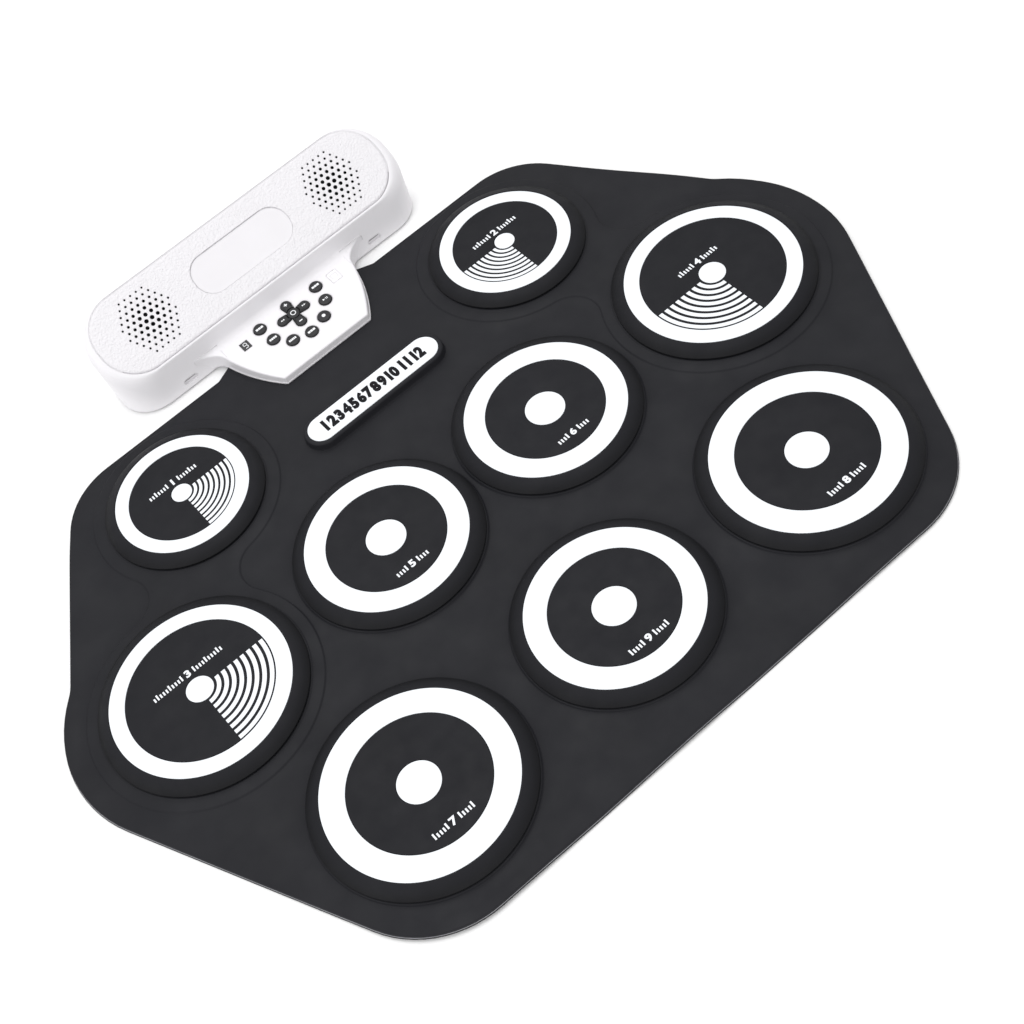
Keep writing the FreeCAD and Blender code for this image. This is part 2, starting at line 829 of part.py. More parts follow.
def petal_prism(name, heading, margin, low, length):
    """A petal widened by margin: round outside, hollow towards the key in the middle."""
    radius = size("petal_radius") + margin
    reach = size("cross_reach")
    inner_radius = size("petal_inner_radius") - margin
    inner_half = size("petal_inner_half") + margin
    inner_x = math.sqrt(inner_radius ** 2 - inner_half ** 2)
    spread = math.degrees(math.atan2(inner_half, inner_x))
    edges = [
        arc(reach, 0, radius, -90, 90),
        line(reach, radius, inner_x, inner_half),
        arc(0, 0, inner_radius, -spread, spread),
        line(inner_x, -inner_half, reach, -radius),
    ]
    petal = prism(name, edges, low, length)
    turned = Placement(Vector(0, up_the_slope("cross_y"), 0), Rotation(Vector(0, 0, 1), heading))
    petal.Placement = tongue_frame() * turned
    return petal


def windows():
    """The display and the indicator: name, x, y up the slope, width, length."""
    return [
        ("digit_display", "-display_x", "display_y", "display_width", "display_length"),
        ("indicator_lens", "display_x", "indicator_y", "indicator_width", "indicator_length"),
    ]


def make_housing():
    """Upper housing: tapered shell, ledge for the face cover, tongue and posts."""
    bottom = size("body_bottom")
    outer = shell_block("housing_outer", bottom, 0, shoulder_levels())
    wall, rim_depth = size("wall"), size("rim_drop + shoulder_depth")
    inner_levels = [(rim_depth, 1, wall), (size("cover_thick"), 0, size("ledge_wall"))]
    inner = shell_block("housing_inner", bottom - 0.01, wall, inner_levels)
    face = face_frame()
    seat = prism("cover_seat", face_outline(size("rim_wall")), "0", "cover_thick + 5")
    seat.Placement = face * Placement(Vector(0, 0, -size("cover_thick")), Rotation())

    mat_top = size("mat_top")
    end_y = size("body_front_y") + 6
    skin = tongue_block("tongue_skin", 0, 0, 0, mat_top, end_y)
    side_wall = size("tongue_wall")
    top_wall = size("tongue_top_wall")
    hollow = tongue_block("tongue_hollow", side_wall, side_wall, top_wall, mat_top - 0.5, end_y + 3)

    shell = cut("housing_shell", rounded_housing(outer, skin), [inner, seat, hollow])

    # posts for the housing screws, kept inside the outer surface; those under the
    # tongue reach down through the mat to its base sheet
    room = tongue_block("tongue_room", 1.0, 1.0, 1.0, size("base_sheet_thick"), end_y)
    posts = []
    for index, (x, y) in enumerate(corner_posts()):
        post = cylinder(f"corner_post{index}", "corner_post_radius", "8.5", (x, y, "cover_floor_top + 0.1"))
        posts.append(common(f"corner_post_in{index}", post, outer))
    for index, (x, y) in enumerate(neck_posts()):
        post = cylinder(f"neck_post{index}", "neck_post_radius", "14", (x, y, "base_sheet_thick"))
        posts.append(common(f"neck_post_in{index}", post, room))
    solid = fuse("housing_with_posts", [shell] + posts)

    holes = []
    for index, (x, y) in enumerate(corner_posts()):
        holes.append(cylinder(f"corner_hole{index}", "screw_hole", "7.5", (x, y, "cover_floor_top")))
    for index, (x, y) in enumerate(neck_posts()):
        holes.append(cylinder(f"neck_hole{index}", "screw_hole", "5", (x, y, "base_sheet_thick - 0.1")))
    frame = tongue_frame()
    for name, x, y, radius, flanged in key_spots():
        place = (x, y, "-key_bottom")
        holes.append(cylinder(name + "_hole", f"{radius} + key_gap", "key_bottom + 2", place, frame=frame))
    for name, heading in petal_keys():
        holes.append(petal_prism(name + "_hole", heading, size("key_gap"), "-key_bottom", "key_bottom + 2"))
    for name, x, y, width, length in windows():
        corner = (f"{x} - {width} / 2 - window_gap", up_the_slope(y) - size(length) / 2 - size("window_gap"),
                  "-key_bottom")
        lengths = (f"{width} + 2 * window_gap", f"{length} + 2 * window_gap", "key_bottom + 2")
        holes.append(box(name + "_hole", corner, lengths, frame))
    for index, x in enumerate(jack_places().values()):
        place = (x, "port_mouth_y - 6", "port_z")
        holes.append(cylinder(f"jack_hole{index}", "jack_hole", "20", place, BACKWARDS))
    holes.append(usb_prism("usb_hole", 4.9, 2.0, 20))
    holes.append(box("tail_gate", ("-12", "body_front_y - 2", "0"), ("24", "8", "mat_top + 0.2")))
    holes.append(box("switch_hole", ("switch_x", "port_mouth_y - 6", "port_z - 1.6"),
                     ("switch_slot", "20", "3.2")))
    solid = cut("housing_cut", solid, holes)

    # two shallow oblong recesses low in the front wall
    dents = []
    backs = []
    for side, sign in (("left", "-"), ("right", "")):
        outline = pill(0, 0, size("dent_length"), size("dent_height"))
        dent = prism(f"{side}_front_dent", outline, "0", "12")
        place = Vector(size(f"{sign}dent_x"), size("body_front_y") + 2.2, size("dent_z"))
        dent.Placement = Placement(place, Rotation(Vector(1, 0, 0), 90))
        dents.append(dent)
        low = (f"{sign}dent_x - dent_length / 2 - 1.75", "body_front_y + 1.5", "dent_z - 3.4")
        backs.append(box(f"{side}_dent_back", low, ("dent_length + 3.5", "3", "7")))
    solid = fuse("housing_dent_backs", [solid] + backs)
    keep("console_housing", cut("console_housing", solid, dents))


def rounded_housing(outer, skin):
    """The outer solid with its edges softened, and the tongue blended into the wall."""
    solid = fuse("housing_solid", [outer, skin])
    front, wide = size("tongue_front_y"), size("tongue_wide_y")
    mat_top = size("mat_top")

    def upright_at(y):
        return lambda b: abs(b.YMin - y) < 0.1 and abs(b.YMax - y) < 0.1 and b.ZLength > 5

    def at_the_wall(b):
        root = size("tongue_root_half") + 5
        wall_front = size("body_front_y")
        return (wall_front - 0.5 < b.YMin and b.YMax < wall_front + 3.5 and b.XMax < root
                and b.XMin > -root and mat_top + 0.2 < b.ZMax < size("tongue_front_z") + 7)

    solid = rounded("tongue_front_corners", solid, "tongue_corner", upright_at(front))
    solid = rounded("tongue_wide_corners", solid, "tongue_wide_corner", upright_at(wide))
    top = size("tongue_front_z") + 6.5
    solid = rounded("tongue_top_edge", solid, "tongue_edge_round",
                    lambda b: b.ZMin > size("tongue_front_z") - 0.5 and b.YMin < wide + 2 and b.ZMax < top)
    solid = rounded("tongue_root", solid, "tongue_root_round", at_the_wall)
    low = size("body_bottom") + 0.1
    return rounded("housing_base_edge", solid, "base_round", lambda b: b.ZMax < low)


def corner_posts():
    return [(f"{sign}corner_post_x", y) for y in ("corner_post_front_y", "corner_post_back_y")
            for sign in ("-", "")]


def grille_holes():
    """Hole centres and radii of one grille: staggered rows that shrink outwards."""
    counts = (5, 6, 7, 8, 9, 8, 9, 8, 7, 6, 5)
    pitch, row_pitch = size("hole_pitch"), size("row_pitch")
    reach = 5 * row_pitch
    holes = []
    for row, count in enumerate(counts):
        y = (row - 5) * row_pitch
        for column in range(count):
            x = (column - (count - 1) / 2) * pitch
            fade = min(math.hypot(x, y) / reach, 1.0)
            diameter = size("hole_middle") + (size("hole_outer") - size("hole_middle")) * fade
            holes.append((x, y, diameter / 2))
    return holes


def make_face_cover():
    """The textured cover with its rounded edge, shallow recess and two grilles."""
    cover = body_named("face_cover_blank")
    inset = size("rim_wall") + size("cover_gap")
    slab = pad(cover, edges_sketch(cover, face_outline(inset), -size("cover_thick")), "cover_thick")
    fillet = cover.newObject("PartDesign::Fillet", "cover_edge")
    rim = [f"Edge{i}" for i, edge in enumerate(cover.Shape.Edges, start=1)
           if edge.BoundBox.ZMin > -0.01]
    fillet.Base = (slab, rim)
    fillet.setExpression("Radius", bound("cover_round"))
    doc.recompute()
    half_x, half_y = size("recess_length") / 2, size("recess_width") / 2
    oval = rounded_rectangle(0, 0, half_x, half_y, half_y - 1)
    pocket(cover, edges_sketch(cover, oval, 0.0), "recess_depth")
    holes = sketch_on(cover, "XY_Plane")
    circles = []
    for side in (-1, 1):
        for x, y, radius in grille_holes():
            centre = Vector(side * size("speaker_x") + x, y, 0)
            circles.append(Part.Circle(centre, Vector(0, 0, 1), radius))
    holes.addGeometry(circles, False)
    pocket(cover, holes, "cover_thick + 1")
    cover.Placement = face_frame()
    keep("face_cover", cover)


def make_base_cover():
    """Floor of the console inside the housing's walls, with posts for the main board."""
    inset = size("wall") + 0.8
    plate = prism("base_cover_plate", body_outline(inset), "cover_floor", "cover_floor_top - cover_floor")
    posts = []
    for index, (x, y) in enumerate(board_posts()):
        posts.append(cylinder(f"board_post{index}", "board_post_radius", "board_z - cover_floor",
                              (x, y, "cover_floor")))
    tools = []
    for index, (x, y) in enumerate(board_posts()):
        tools.append(cylinder(f"board_post_hole{index}", "1.2", "6", (x, y, "cover_floor + 1.0")))
    for index, (x, y) in enumerate(corner_posts()):
        tools.append(cylinder(f"cover_hole{index}", "screw_clearance", "9", (x, y, "0")))
        tools.append(cylinder(f"cover_head{index}", "screw_recess", "1.2", (x, y, "cover_floor")))
    tools.append(box("tail_notch", ("-12", "body_front_y", "0"), ("24", "9", "9")))
    solid = fuse("base_cover_solid", [plate] + posts)
    keep("base_cover", cut("base_cover", solid, tools))

    feet = []
    for y in ("foot_front_y", "foot_back_y"):
        for sign in ("-", ""):
            feet.append(cylinder(f"foot{len(feet)}", "foot_radius", "body_bottom", (f"{sign}foot_x", y, "0")))
    keep("rubber_feet", group("rubber_feet", feet))

    screws = []
    for index, (x, y) in enumerate(corner_posts()):
        head = cylinder(f"case_head{index}", "screw_head", "1.1", (x, y, "cover_floor + 0.1"))
        shank = cylinder(f"case_shank{index}", "screw_shank", "8", (x, y, "cover_floor + 1"))
        socket = cross_slot(f"case_slot{index}", x, y, "cover_floor + 0.1", 0.6)
        screws.append(cut(f"case_screw{index}", fuse(f"case_blank{index}", [head, shank]), [socket]))
    keep("case_screws", group("case_screws", screws))


def cross_slot(name, x, y, z, depth):
    """The cross recess in a screw's head."""
    low = f"{z} - 0.01"
    one = box(name + "_a", (f"{x} - 1.5", f"{y} - 0.3", low), ("3", "0.6", str(depth)))
    two = box(name + "_b", (f"{x} - 0.3", f"{y} - 1.5", low), ("0.6", "3", str(depth)))
    return fuse(name, [one, two])


def board_posts():
    return [(f"{sign}board_post_x", y) for y in ("board_post_front_y", "board_post_back_y")
            for sign in ("-", "")]


def make_neck_clamp():
    """The plate under the neck of the mat, and its four screws."""
    half = size("clamp_half")
    front = size("tongue_front_y") + size("tongue_wall") + size("film_clearance")
    plate = box("clamp_blank", (str(-half), str(front), "0"),
                (str(2 * half), str(size("neck_end_y") + 1 - front), "base_sheet_thick"))
    tools = []
    screws = []
    for index, (x, y) in enumerate(neck_posts()):
        tools.append(cylinder(f"clamp_hole{index}", "screw_clearance", "3", (x, y, "0")))
        tools.append(cylinder(f"clamp_head{index}", "screw_recess", "0.55", (x, y, "0")))
        head = cylinder(f"neck_head{index}", "screw_head", "0.45", (x, y, "0.05"))
        shank = cylinder(f"neck_shank{index}", "screw_shank", "5", (x, y, "0.4"))
        slot = cross_slot(f"neck_slot{index}", x, y, "0.05", 0.3)
        screws.append(cut(f"neck_screw{index}", fuse(f"neck_blank{index}", [head, shank]), [slot]))
    keep("neck_clamp_plate", cut("neck_clamp_plate", plate, tools))
    keep("neck_screws", group("neck_screws", screws))


def make_keys():
    """Key caps, the rubber key mat under them, its board and the two windows."""
    frame = tongue_frame()
    for name, x, y, radius, flanged in key_spots():
        cap = body_named(name)
        corners = [
            ("0", "-key_bottom"),
            (radius, "-key_bottom"),
            (radius, "key_top - cap_round"),
            (f"{radius} - cap_round", "key_top"),
            ("0", "key_top"),
        ]
        if flanged:
            corners[1:2] = [
                (f"{radius} + flange_margin", "-key_bottom"),
                (f"{radius} + flange_margin", "-key_bottom + key_flange"),
                (radius, "-key_bottom + key_flange"),
            ]
        revolve(cap, corners)
        cap.Placement = frame * Placement(Vector(x, y, 0), Rotation())
        keep(name, cap)

    for name, heading in petal_keys():
        petal = petal_prism(name, heading, 0, "-key_bottom", "key_bottom + key_top")
        top = petal.Tip
        edge_round = petal.newObject("PartDesign::Fillet", name + "_edge")
        rim = [i for i, edge in enumerate(top.Shape.Edges, start=1)
               if edge.BoundBox.ZMin > size("key_top") - 0.01]
        edge_round.Base = (top, [f"Edge{i}" for i in rim])
        edge_round.Radius = 0.4
        doc.recompute()
        keep(name, petal)

    low_y, high_y = up_the_slope("key_mat_front_y"), up_the_slope("key_mat_back_y")
    middle_y, half_y = (low_y + high_y) / 2, (high_y - low_y) / 2
    outline = rounded_rectangle(0, middle_y, size("key_mat_half"), half_y, 5)
    key_mat = prism("key_mat_blank", outline, "-board_top", "board_top - dome_sheet_top")
    domes = []
    for name, x, y, radius, flanged in key_spots():
        domes.append(cylinder(name + "_dome", f"{radius} - 0.6", "board_top - dome_top",
                              (x, y, "-board_top")))
    for name, heading in petal_keys():
        spot = along(heading) * size("cross_reach")
        place = (spot.x, up_the_slope("cross_y") + spot.y, "-board_top")
        domes.append(cylinder(name + "_dome", "petal_radius - 0.8", "board_top - dome_top", place))
    key_mat = fuse("key_mat", [key_mat] + domes)
    key_mat.Placement = frame
    keep("key_mat", key_mat)

    board = body_named("key_board")
    far, near = high_y - 1, low_y + 0.5
    front_half, back_half = size("key_board_front_half"), size("key_board_back_half")
    outline = [(-front_half, near), (front_half, near), (back_half, far), (-back_half, far)]
    edges = [line(*outline[i], *outline[(i + 1) % 4]) for i in range(4)]
    pad(board, edges_sketch(board, edges, -size("board_bottom")), "board_bottom - board_top")
    board.Placement = frame
    keep("key_board", board)

    for name, x, y, width, length in windows():
        centre_y = up_the_slope(y)
        half_x, half_y = size(width) / 2, size(length) / 2
        edges = rounded_rectangle(size(x), centre_y, half_x, half_y, 0.6)
        window = prism(name + "_block", edges, "-board_top", "board_top")
        window.Placement = frame
        keep(name, window)

    start = frame.multVec(Vector(0, far - 6, -size("board_bottom") - 0.3))
    keep("key_ribbon", ribbon("key_ribbon", "12", "26", [
        (start.y, start.z),
        (size("body_front_y") + 1, start.z - 0.2),
        (size("board_front_y") - 1, size(BOARD_FACE) + 1.0),
        (size("board_front_y") + 1, size(BOARD_FACE) + 1.0),
    ], 0.25))


# ---------------------------------------------------------------- inside the console

def jack_places():
    """The four round sockets in the rear wall, and where each sits along X."""
    return {"headphone_jack": "-40", "audio_in_jack": "-26",
            "bass_pedal_jack": "14", "hi_hat_pedal_jack": "28"}


def usb_prism(name, half_x, half_z, length):
    """A flat-sided round-ended prism through the rear wall, for the charging socket."""
    thing = prism(name, rounded_rectangle(0, 0, half_x, half_z, half_z - 0.1), "0", str(length))
    place = Vector(size("usb_x"), size("port_mouth_y") - 6, size("port_z"))
    thing.Placement = Placement(place, BACKWARDS)
    return thing


def make_sockets():
    """Jacks, charging socket and power switch on the back edge of the main board."""
    top = BOARD_FACE
    for node, x in jack_places().items():
        block = box(node + "_block", (f"{x} - 4.5", "port_mouth_y - 14.5", top), ("9", "11.7", "6.4"))
        nose = cylinder(node + "_nose", "jack_nose", "3", (x, "port_mouth_y - 3", "port_z"), BACKWARDS)
        bore = cylinder(node + "_bore", "jack_bore", "jack_depth",
                        (x, "port_mouth_y - jack_depth", "port_z"), BACKWARDS)
        keep(node, cut(node, fuse(node + "_solid", [block, nose]), [bore]))

    shell = usb_prism("usb_shell", 4.5, 1.6, 5.8)
    opening = usb_prism("usb_opening", 4.15, 1.25, 9)
    opening.Placement.Base.y += 0.8
    stand = box("usb_stand", ("usb_x - 3.5", "port_mouth_y - 6", top),
                ("7", "2.8", f"port_z - 1.5 - ({top})"))
    pin_bar = box("usb_bar", ("usb_x - 3.2", "port_mouth_y - 5.4", "port_z - 0.35"), ("6.4", "4.6", "0.7"))
    hollow = cut("usb_hollow", fuse("usb_block", [shell, stand]), [opening])
    keep("usb_socket", fuse("usb_socket", [hollow, pin_bar]))

    block = box("switch_block", ("switch_x - 0.5", "port_mouth_y - 9.5", top), ("11", "6", "6.4"))
    slot = box("switch_slot", ("switch_x + 1.2", "port_mouth_y - 5.5", "port_z - 1.2"), ("6.8", "4", "2.4"))
    keep("switch_case", cut("switch_case", block, [slot]))
    stem = box("switch_stem", ("switch_x + 1.6", "port_mouth_y - 5.2", "port_z - 0.9"), ("3", "6", "1.8"))
    keep("power_switch", stem)


def make_electronics():
    """Main board, its screws, connectors, battery, speakers and leads."""
    centre_y = (size("board_front_y") + size("board_back_y")) / 2
    half_y = (size("board_back_y") - size("board_front_y")) / 2
    edges = rounded_rectangle(0, centre_y, size("board_half"), half_y, 2)
    board = prism("main_board_blank", edges, "board_z", "board_thick")
    drills = [(x, y, "1.3") for x, y in board_posts()]
    pocket(board, circles_sketch(board, drills, size(BOARD_FACE)), "board_thick + 1")
    keep("main_board", board)

    screws = []
    for index, (x, y) in enumerate(board_posts()):
        head = cylinder(f"board_head{index}", "2.4", "1.3", (x, y, BOARD_FACE))
        shank = cylinder(f"board_shank{index}", "1.1", "5", (x, y, f"{BOARD_FACE} - 5"))
        screws.append(fuse(f"board_screw{index}", [head, shank]))
    keep("board_screws", group("board_screws", screws))

    top = BOARD_FACE
    slit = "0.6"
    for node, x, width, thick in (("film_connector", "0", "26", "film_thick"),
                                  ("ribbon_connector", "26", "16", "0.25")):
        block = box(node + "_block", (f"{x} - {width} / 2", "board_front_y", top), (width, "5", "2.4"))
        mouth = box(node + "_mouth", (f"{x} - {width} / 2 + 1.8", "board_front_y - 1", f"{top} + 0.85"),
                    (f"{width} - 3.6", "2.5", slit))
        keep(node, cut(node, block, [mouth]))

    cell = box("battery_block", ("-106", "204", "cover_floor_top"), ("50", "34", "8.4"))
    keep("battery", cell)

    face = face_frame()
    for side, sign in (("left", "-"), ("right", "")):
        place = Vector(size(f"{sign}speaker_x"), 0, 0)
        basket = body_named(f"{side}_speaker_basket")
        revolve(basket, [
            ("20.4", "-3.2"), ("24", "-3.2"), ("24", "-5"), ("22.2", "-5"), ("14.2", "-13.6"),
            ("14.2", "-20.5"), ("0", "-20.5"), ("0", "-14.2"), ("12.6", "-14.2"),
            ("12.8", "-13"), ("20.4", "-4.8"),
        ])
        basket.Placement = face * Placement(place, Rotation())
        keep(f"{side}_speaker_basket", basket)
        cone = body_named(f"{side}_speaker_cone")
        revolve(cone, [
            ("0", "-7.4"), ("3.4", "-8.1"), ("6", "-9.4"), ("19.4", "-3.9"), ("19.4", "-4.4"),
            ("5.6", "-10.4"), ("5.6", "-13.4"), ("5", "-13.4"), ("5", "-9.6"), ("3.2", "-8.7"),
            ("0", "-8"),
        ])
        cone.Placement = face * Placement(place, Rotation())
        keep(f"{side}_speaker_cone", cone)

    leads = []
    magnet = face.multVec(Vector(0, 0, -17))
    for index, sign in enumerate((-1, 1)):
        wall_x = sign * (size("speaker_x") - 14.2)
        path = [Vector(wall_x, magnet.y, magnet.z), Vector(sign * 36, magnet.y, magnet.z),
                Vector(sign * 36, magnet.y, size(top))]
        leads.append(wire(f"speaker_lead{index}", path, 0.9, 12))
    keep("speaker_leads", group("speaker_leads", leads))
    path = [Vector(-56, 214, 10.6), Vector(-46, 214, 10.6), Vector(-46, 214, size(top))]
    keep("battery_lead", wire("battery_lead", path, 0.9, 2))


def wire(name, path, radius, bend):
    """A round lead along two straight runs joined by one arc."""
    first, corner, last = path
    into = (corner - first).normalize()
    out = (last - corner).normalize()
    start, end = corner - into * bend, corner + out * bend
    centre = start + out * bend
    middle = centre + (corner - centre).normalize() * bend
    spine = Part.Wire([
        Part.LineSegment(first, start).toShape(),
        Part.Arc(start, middle, end).toShape(),
        Part.LineSegment(end, last).toShape(),
    ])
    ring = Part.Wire(Part.makeCircle(radius, first, into))
    thing = doc.addObject("Part::Feature", name)
    thing.Shape = spine.makePipeShell([ring], True, False)
    return thing


# ---------------------------------------------------------------- build, check, write

make_pads()
make_mat()
make_badge()
make_housing()
make_face_cover()
make_base_cover()
make_neck_clamp()
make_keys()
make_sockets()
make_electronics()
doc.recompute()

for thing in doc.Objects:
    if "Invalid" in thing.State or "Error" in thing.State:
        raise ValueError(f"{thing.Name} failed: {thing.State}")
for node, thing in nodes.items():
    if thing.Shape.isNull() or not thing.Shape.isValid():
        raise ValueError(f"{node} has no valid shape")

os.makedirs("parts", exist_ok=True)
for node, thing in nodes.items():
    thing.Shape.exportStep(f"parts/{node}.step")
    print(node, len(thing.Shape.Solids), round(thing.Shape.Volume / 1000, 2))
print(len(nodes), "nodes")
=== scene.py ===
import json
import math

import bmesh
import bpy
import numpy as np
from mathutils import Matrix, Vector, noise
from mathutils.geometry import delaunay_2d_cdt
from mathutils.kdtree import KDTree


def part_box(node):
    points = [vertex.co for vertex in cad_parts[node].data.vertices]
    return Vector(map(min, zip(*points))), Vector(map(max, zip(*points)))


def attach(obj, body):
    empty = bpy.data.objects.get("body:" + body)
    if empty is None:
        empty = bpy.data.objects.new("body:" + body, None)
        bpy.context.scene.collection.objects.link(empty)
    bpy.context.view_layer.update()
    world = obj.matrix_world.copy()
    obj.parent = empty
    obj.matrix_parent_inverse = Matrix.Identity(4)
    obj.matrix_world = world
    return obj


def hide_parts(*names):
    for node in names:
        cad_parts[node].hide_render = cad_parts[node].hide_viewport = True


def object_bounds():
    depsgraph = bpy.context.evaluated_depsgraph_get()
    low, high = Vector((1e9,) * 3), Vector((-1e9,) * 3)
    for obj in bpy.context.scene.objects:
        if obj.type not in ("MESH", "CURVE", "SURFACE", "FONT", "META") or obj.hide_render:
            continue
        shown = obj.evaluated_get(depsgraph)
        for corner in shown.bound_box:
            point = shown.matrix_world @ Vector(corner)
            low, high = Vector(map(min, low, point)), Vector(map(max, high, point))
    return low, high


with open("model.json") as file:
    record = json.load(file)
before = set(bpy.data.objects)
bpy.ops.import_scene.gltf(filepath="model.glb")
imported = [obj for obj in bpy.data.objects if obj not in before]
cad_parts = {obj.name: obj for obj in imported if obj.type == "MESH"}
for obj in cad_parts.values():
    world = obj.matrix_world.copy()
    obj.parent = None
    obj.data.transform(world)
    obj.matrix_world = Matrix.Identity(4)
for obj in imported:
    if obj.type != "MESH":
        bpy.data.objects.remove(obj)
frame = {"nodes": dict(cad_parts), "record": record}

# Roll-up electronic drum pad. Metres, in the frame of the CAD: X along the player's
# left to right, Y from the player to the console, Z up, table at Z = 0.
MM = 0.001
nodes = frame["nodes"]
cad_low, cad_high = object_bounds()
MAIN = "console_and_mat"

PADS = ("left_crash_pad", "right_crash_pad", "hi_hat_pad", "ride_pad", "high_tom_pad",
        "low_tom_pad", "snare_pad", "floor_tom_pad", "bass_pad")
CYMBALS = PADS[:4]
ARC_KEYS = ("kit_key", "rhythm_key", "demo_key", "metronome_key", "record_key", "play_key", "tempo_key")

# pads: how far things stand from the white ring's outer edge
RIM_OUT = 9.2 * MM
FLAT_OUT = 0.9 * MM
BOSS_OUT = 9.9 * MM
WELL_IN = 8.0 * MM
PLUG_IN = 8.5 * MM
BOSS_TOP = 4.7 * MM
RIM_LOW = 5.6 * MM
RIM_HIGH = 6.6 * MM
PLUG_LOW = 2.7 * MM

# mat
SHEET_TOP = 3.0 * MM
PLATFORM_TOP = 4.0 * MM
BASE_TOP = 1.0 * MM

FACE_TILT = math.radians(34.0)
TONGUE_SLOPE = math.radians(6.2)


# ---- measuring the frame

def middle(node):
    low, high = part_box(node)
    return (low + high) / 2


def topmost(node, normal):
    """The middle of a CAD node's end face in the direction of normal."""
    points = np.array([v.co for v in nodes[node].data.vertices])
    heights = points @ np.array(normal)
    top = points[heights > heights.max() - 0.02 * MM]
    return Vector((top.min(0) + top.max(0)) / 2)


def pad_ring(node):
    """The outer radius of a pad's white ring."""
    low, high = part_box(node)
    return (high.x - low.x) / 2 - RIM_OUT


# ---- materials

def new_material(name, colour, roughness, specular=0.5):
    material = bpy.data.materials.new(name)
    material.use_nodes = True
    shader = material.node_tree.nodes["Principled BSDF"]
    shader.inputs["Base Color"].default_value = (*colour, 1)
    shader.inputs["Roughness"].default_value = roughness
    shader.inputs["Specular IOR Level"].default_value = specular
    return material, shader


def add_node(material, kind, **values):
    node = material.node_tree.nodes.new(kind)
    for name, value in values.items():
        if name in node.inputs:
            node.inputs[name].default_value = value
        else:
            setattr(node, name, value)
    return node


def link(material, start, end):
    material.node_tree.links.new(start, end)


def place_output(material):
    return add_node(material, "ShaderNodeTexCoord").outputs["Object"]


def noise_output(material, scale, detail=3.0, rough=0.55):
    texture = add_node(material, "ShaderNodeTexNoise", Scale=scale, Detail=detail, Roughness=rough)
    link(material, place_output(material), texture.inputs["Vector"])
    return texture.outputs["Fac"]


def ranged(material, value, low, high, from_low=0.3, from_high=0.7):
    limits = {"From Min": from_low, "From Max": from_high, "To Min": low, "To Max": high}
    node = add_node(material, "ShaderNodeMapRange", **limits)
    link(material, value, node.inputs["Value"])
    return node.outputs["Result"]


def tinted(material, value, first, second):
    """A colour that runs from first to second as value goes from 0.3 to 0.7."""
    ramp = add_node(material, "ShaderNodeValToRGB")
    for stop, position, colour in zip(ramp.color_ramp.elements, (0.3, 0.7), (first, second)):
        stop.position = position
        stop.color = (*colour, 1)
    link(material, value, ramp.inputs["Fac"])
    return ramp.outputs["Color"]


def bumped(material, shader, height, distance, strength=1.0, under=None):
    bump = add_node(material, "ShaderNodeBump", Strength=strength, Distance=distance)
    link(material, height, bump.inputs["Height"])
    if under is not None:
        link(material, under, bump.inputs["Normal"])
    link(material, bump.outputs["Normal"], shader.inputs["Normal"])
    return bump.outputs["Normal"]


def vector_math(material, operation, value, other=None):
    node = add_node(material, "ShaderNodeVectorMath", operation=operation)
    link(material, value, node.inputs[0])
    if other is not None:
        node.inputs[1].default_value = other
    return node


def edge_softened(material, radius):
    return add_node(material, "ShaderNodeBevel", samples=4, Radius=radius).outputs["Normal"]


def shade(colour, factor):
    return tuple(min(1.0, c * factor) for c in colour)


def surface(name, colour, roughness, specular=0.5, blotch=30.0, spread=0.06, grain=900.0,
            relief=0.02 * MM, soft_edge=0.0, rough_spread=0.06):
    """Plastic, rubber or print: slight blotches of colour and gloss, and a fine grain."""
    material, shader = new_material(name, colour, roughness, specular)
    blotches = noise_output(material, blotch)
    tint = tinted(material, blotches, shade(colour, 1 - spread), shade(colour, 1 + spread))
    link(material, tint, shader.inputs["Base Color"])
    gloss = ranged(material, noise_output(material, blotch * 3), roughness - rough_spread,
                   roughness + rough_spread)
    link(material, gloss, shader.inputs["Roughness"])
    under = edge_softened(material, soft_edge) if soft_edge else None
    bumped(material, shader, noise_output(material, grain, 2.0), relief, under=under)
    return material


def darker_downwards(material, low, high, least):
    """Painted shade: dims the colour from its full value at the height high to a share of it at low."""
    shader = material.node_tree.nodes["Principled BSDF"]
    split = add_node(material, "ShaderNodeSeparateXYZ")
    link(material, place_output(material), split.inputs["Vector"])
    share = ranged(material, split.outputs["Z"], least, 1.0, low, high)
    product = vector_math(material, "SCALE", shader.inputs["Base Color"].links[0].from_socket)
    link(material, share, product.inputs["Scale"])
    link(material, product.outputs["Vector"], shader.inputs["Base Color"])


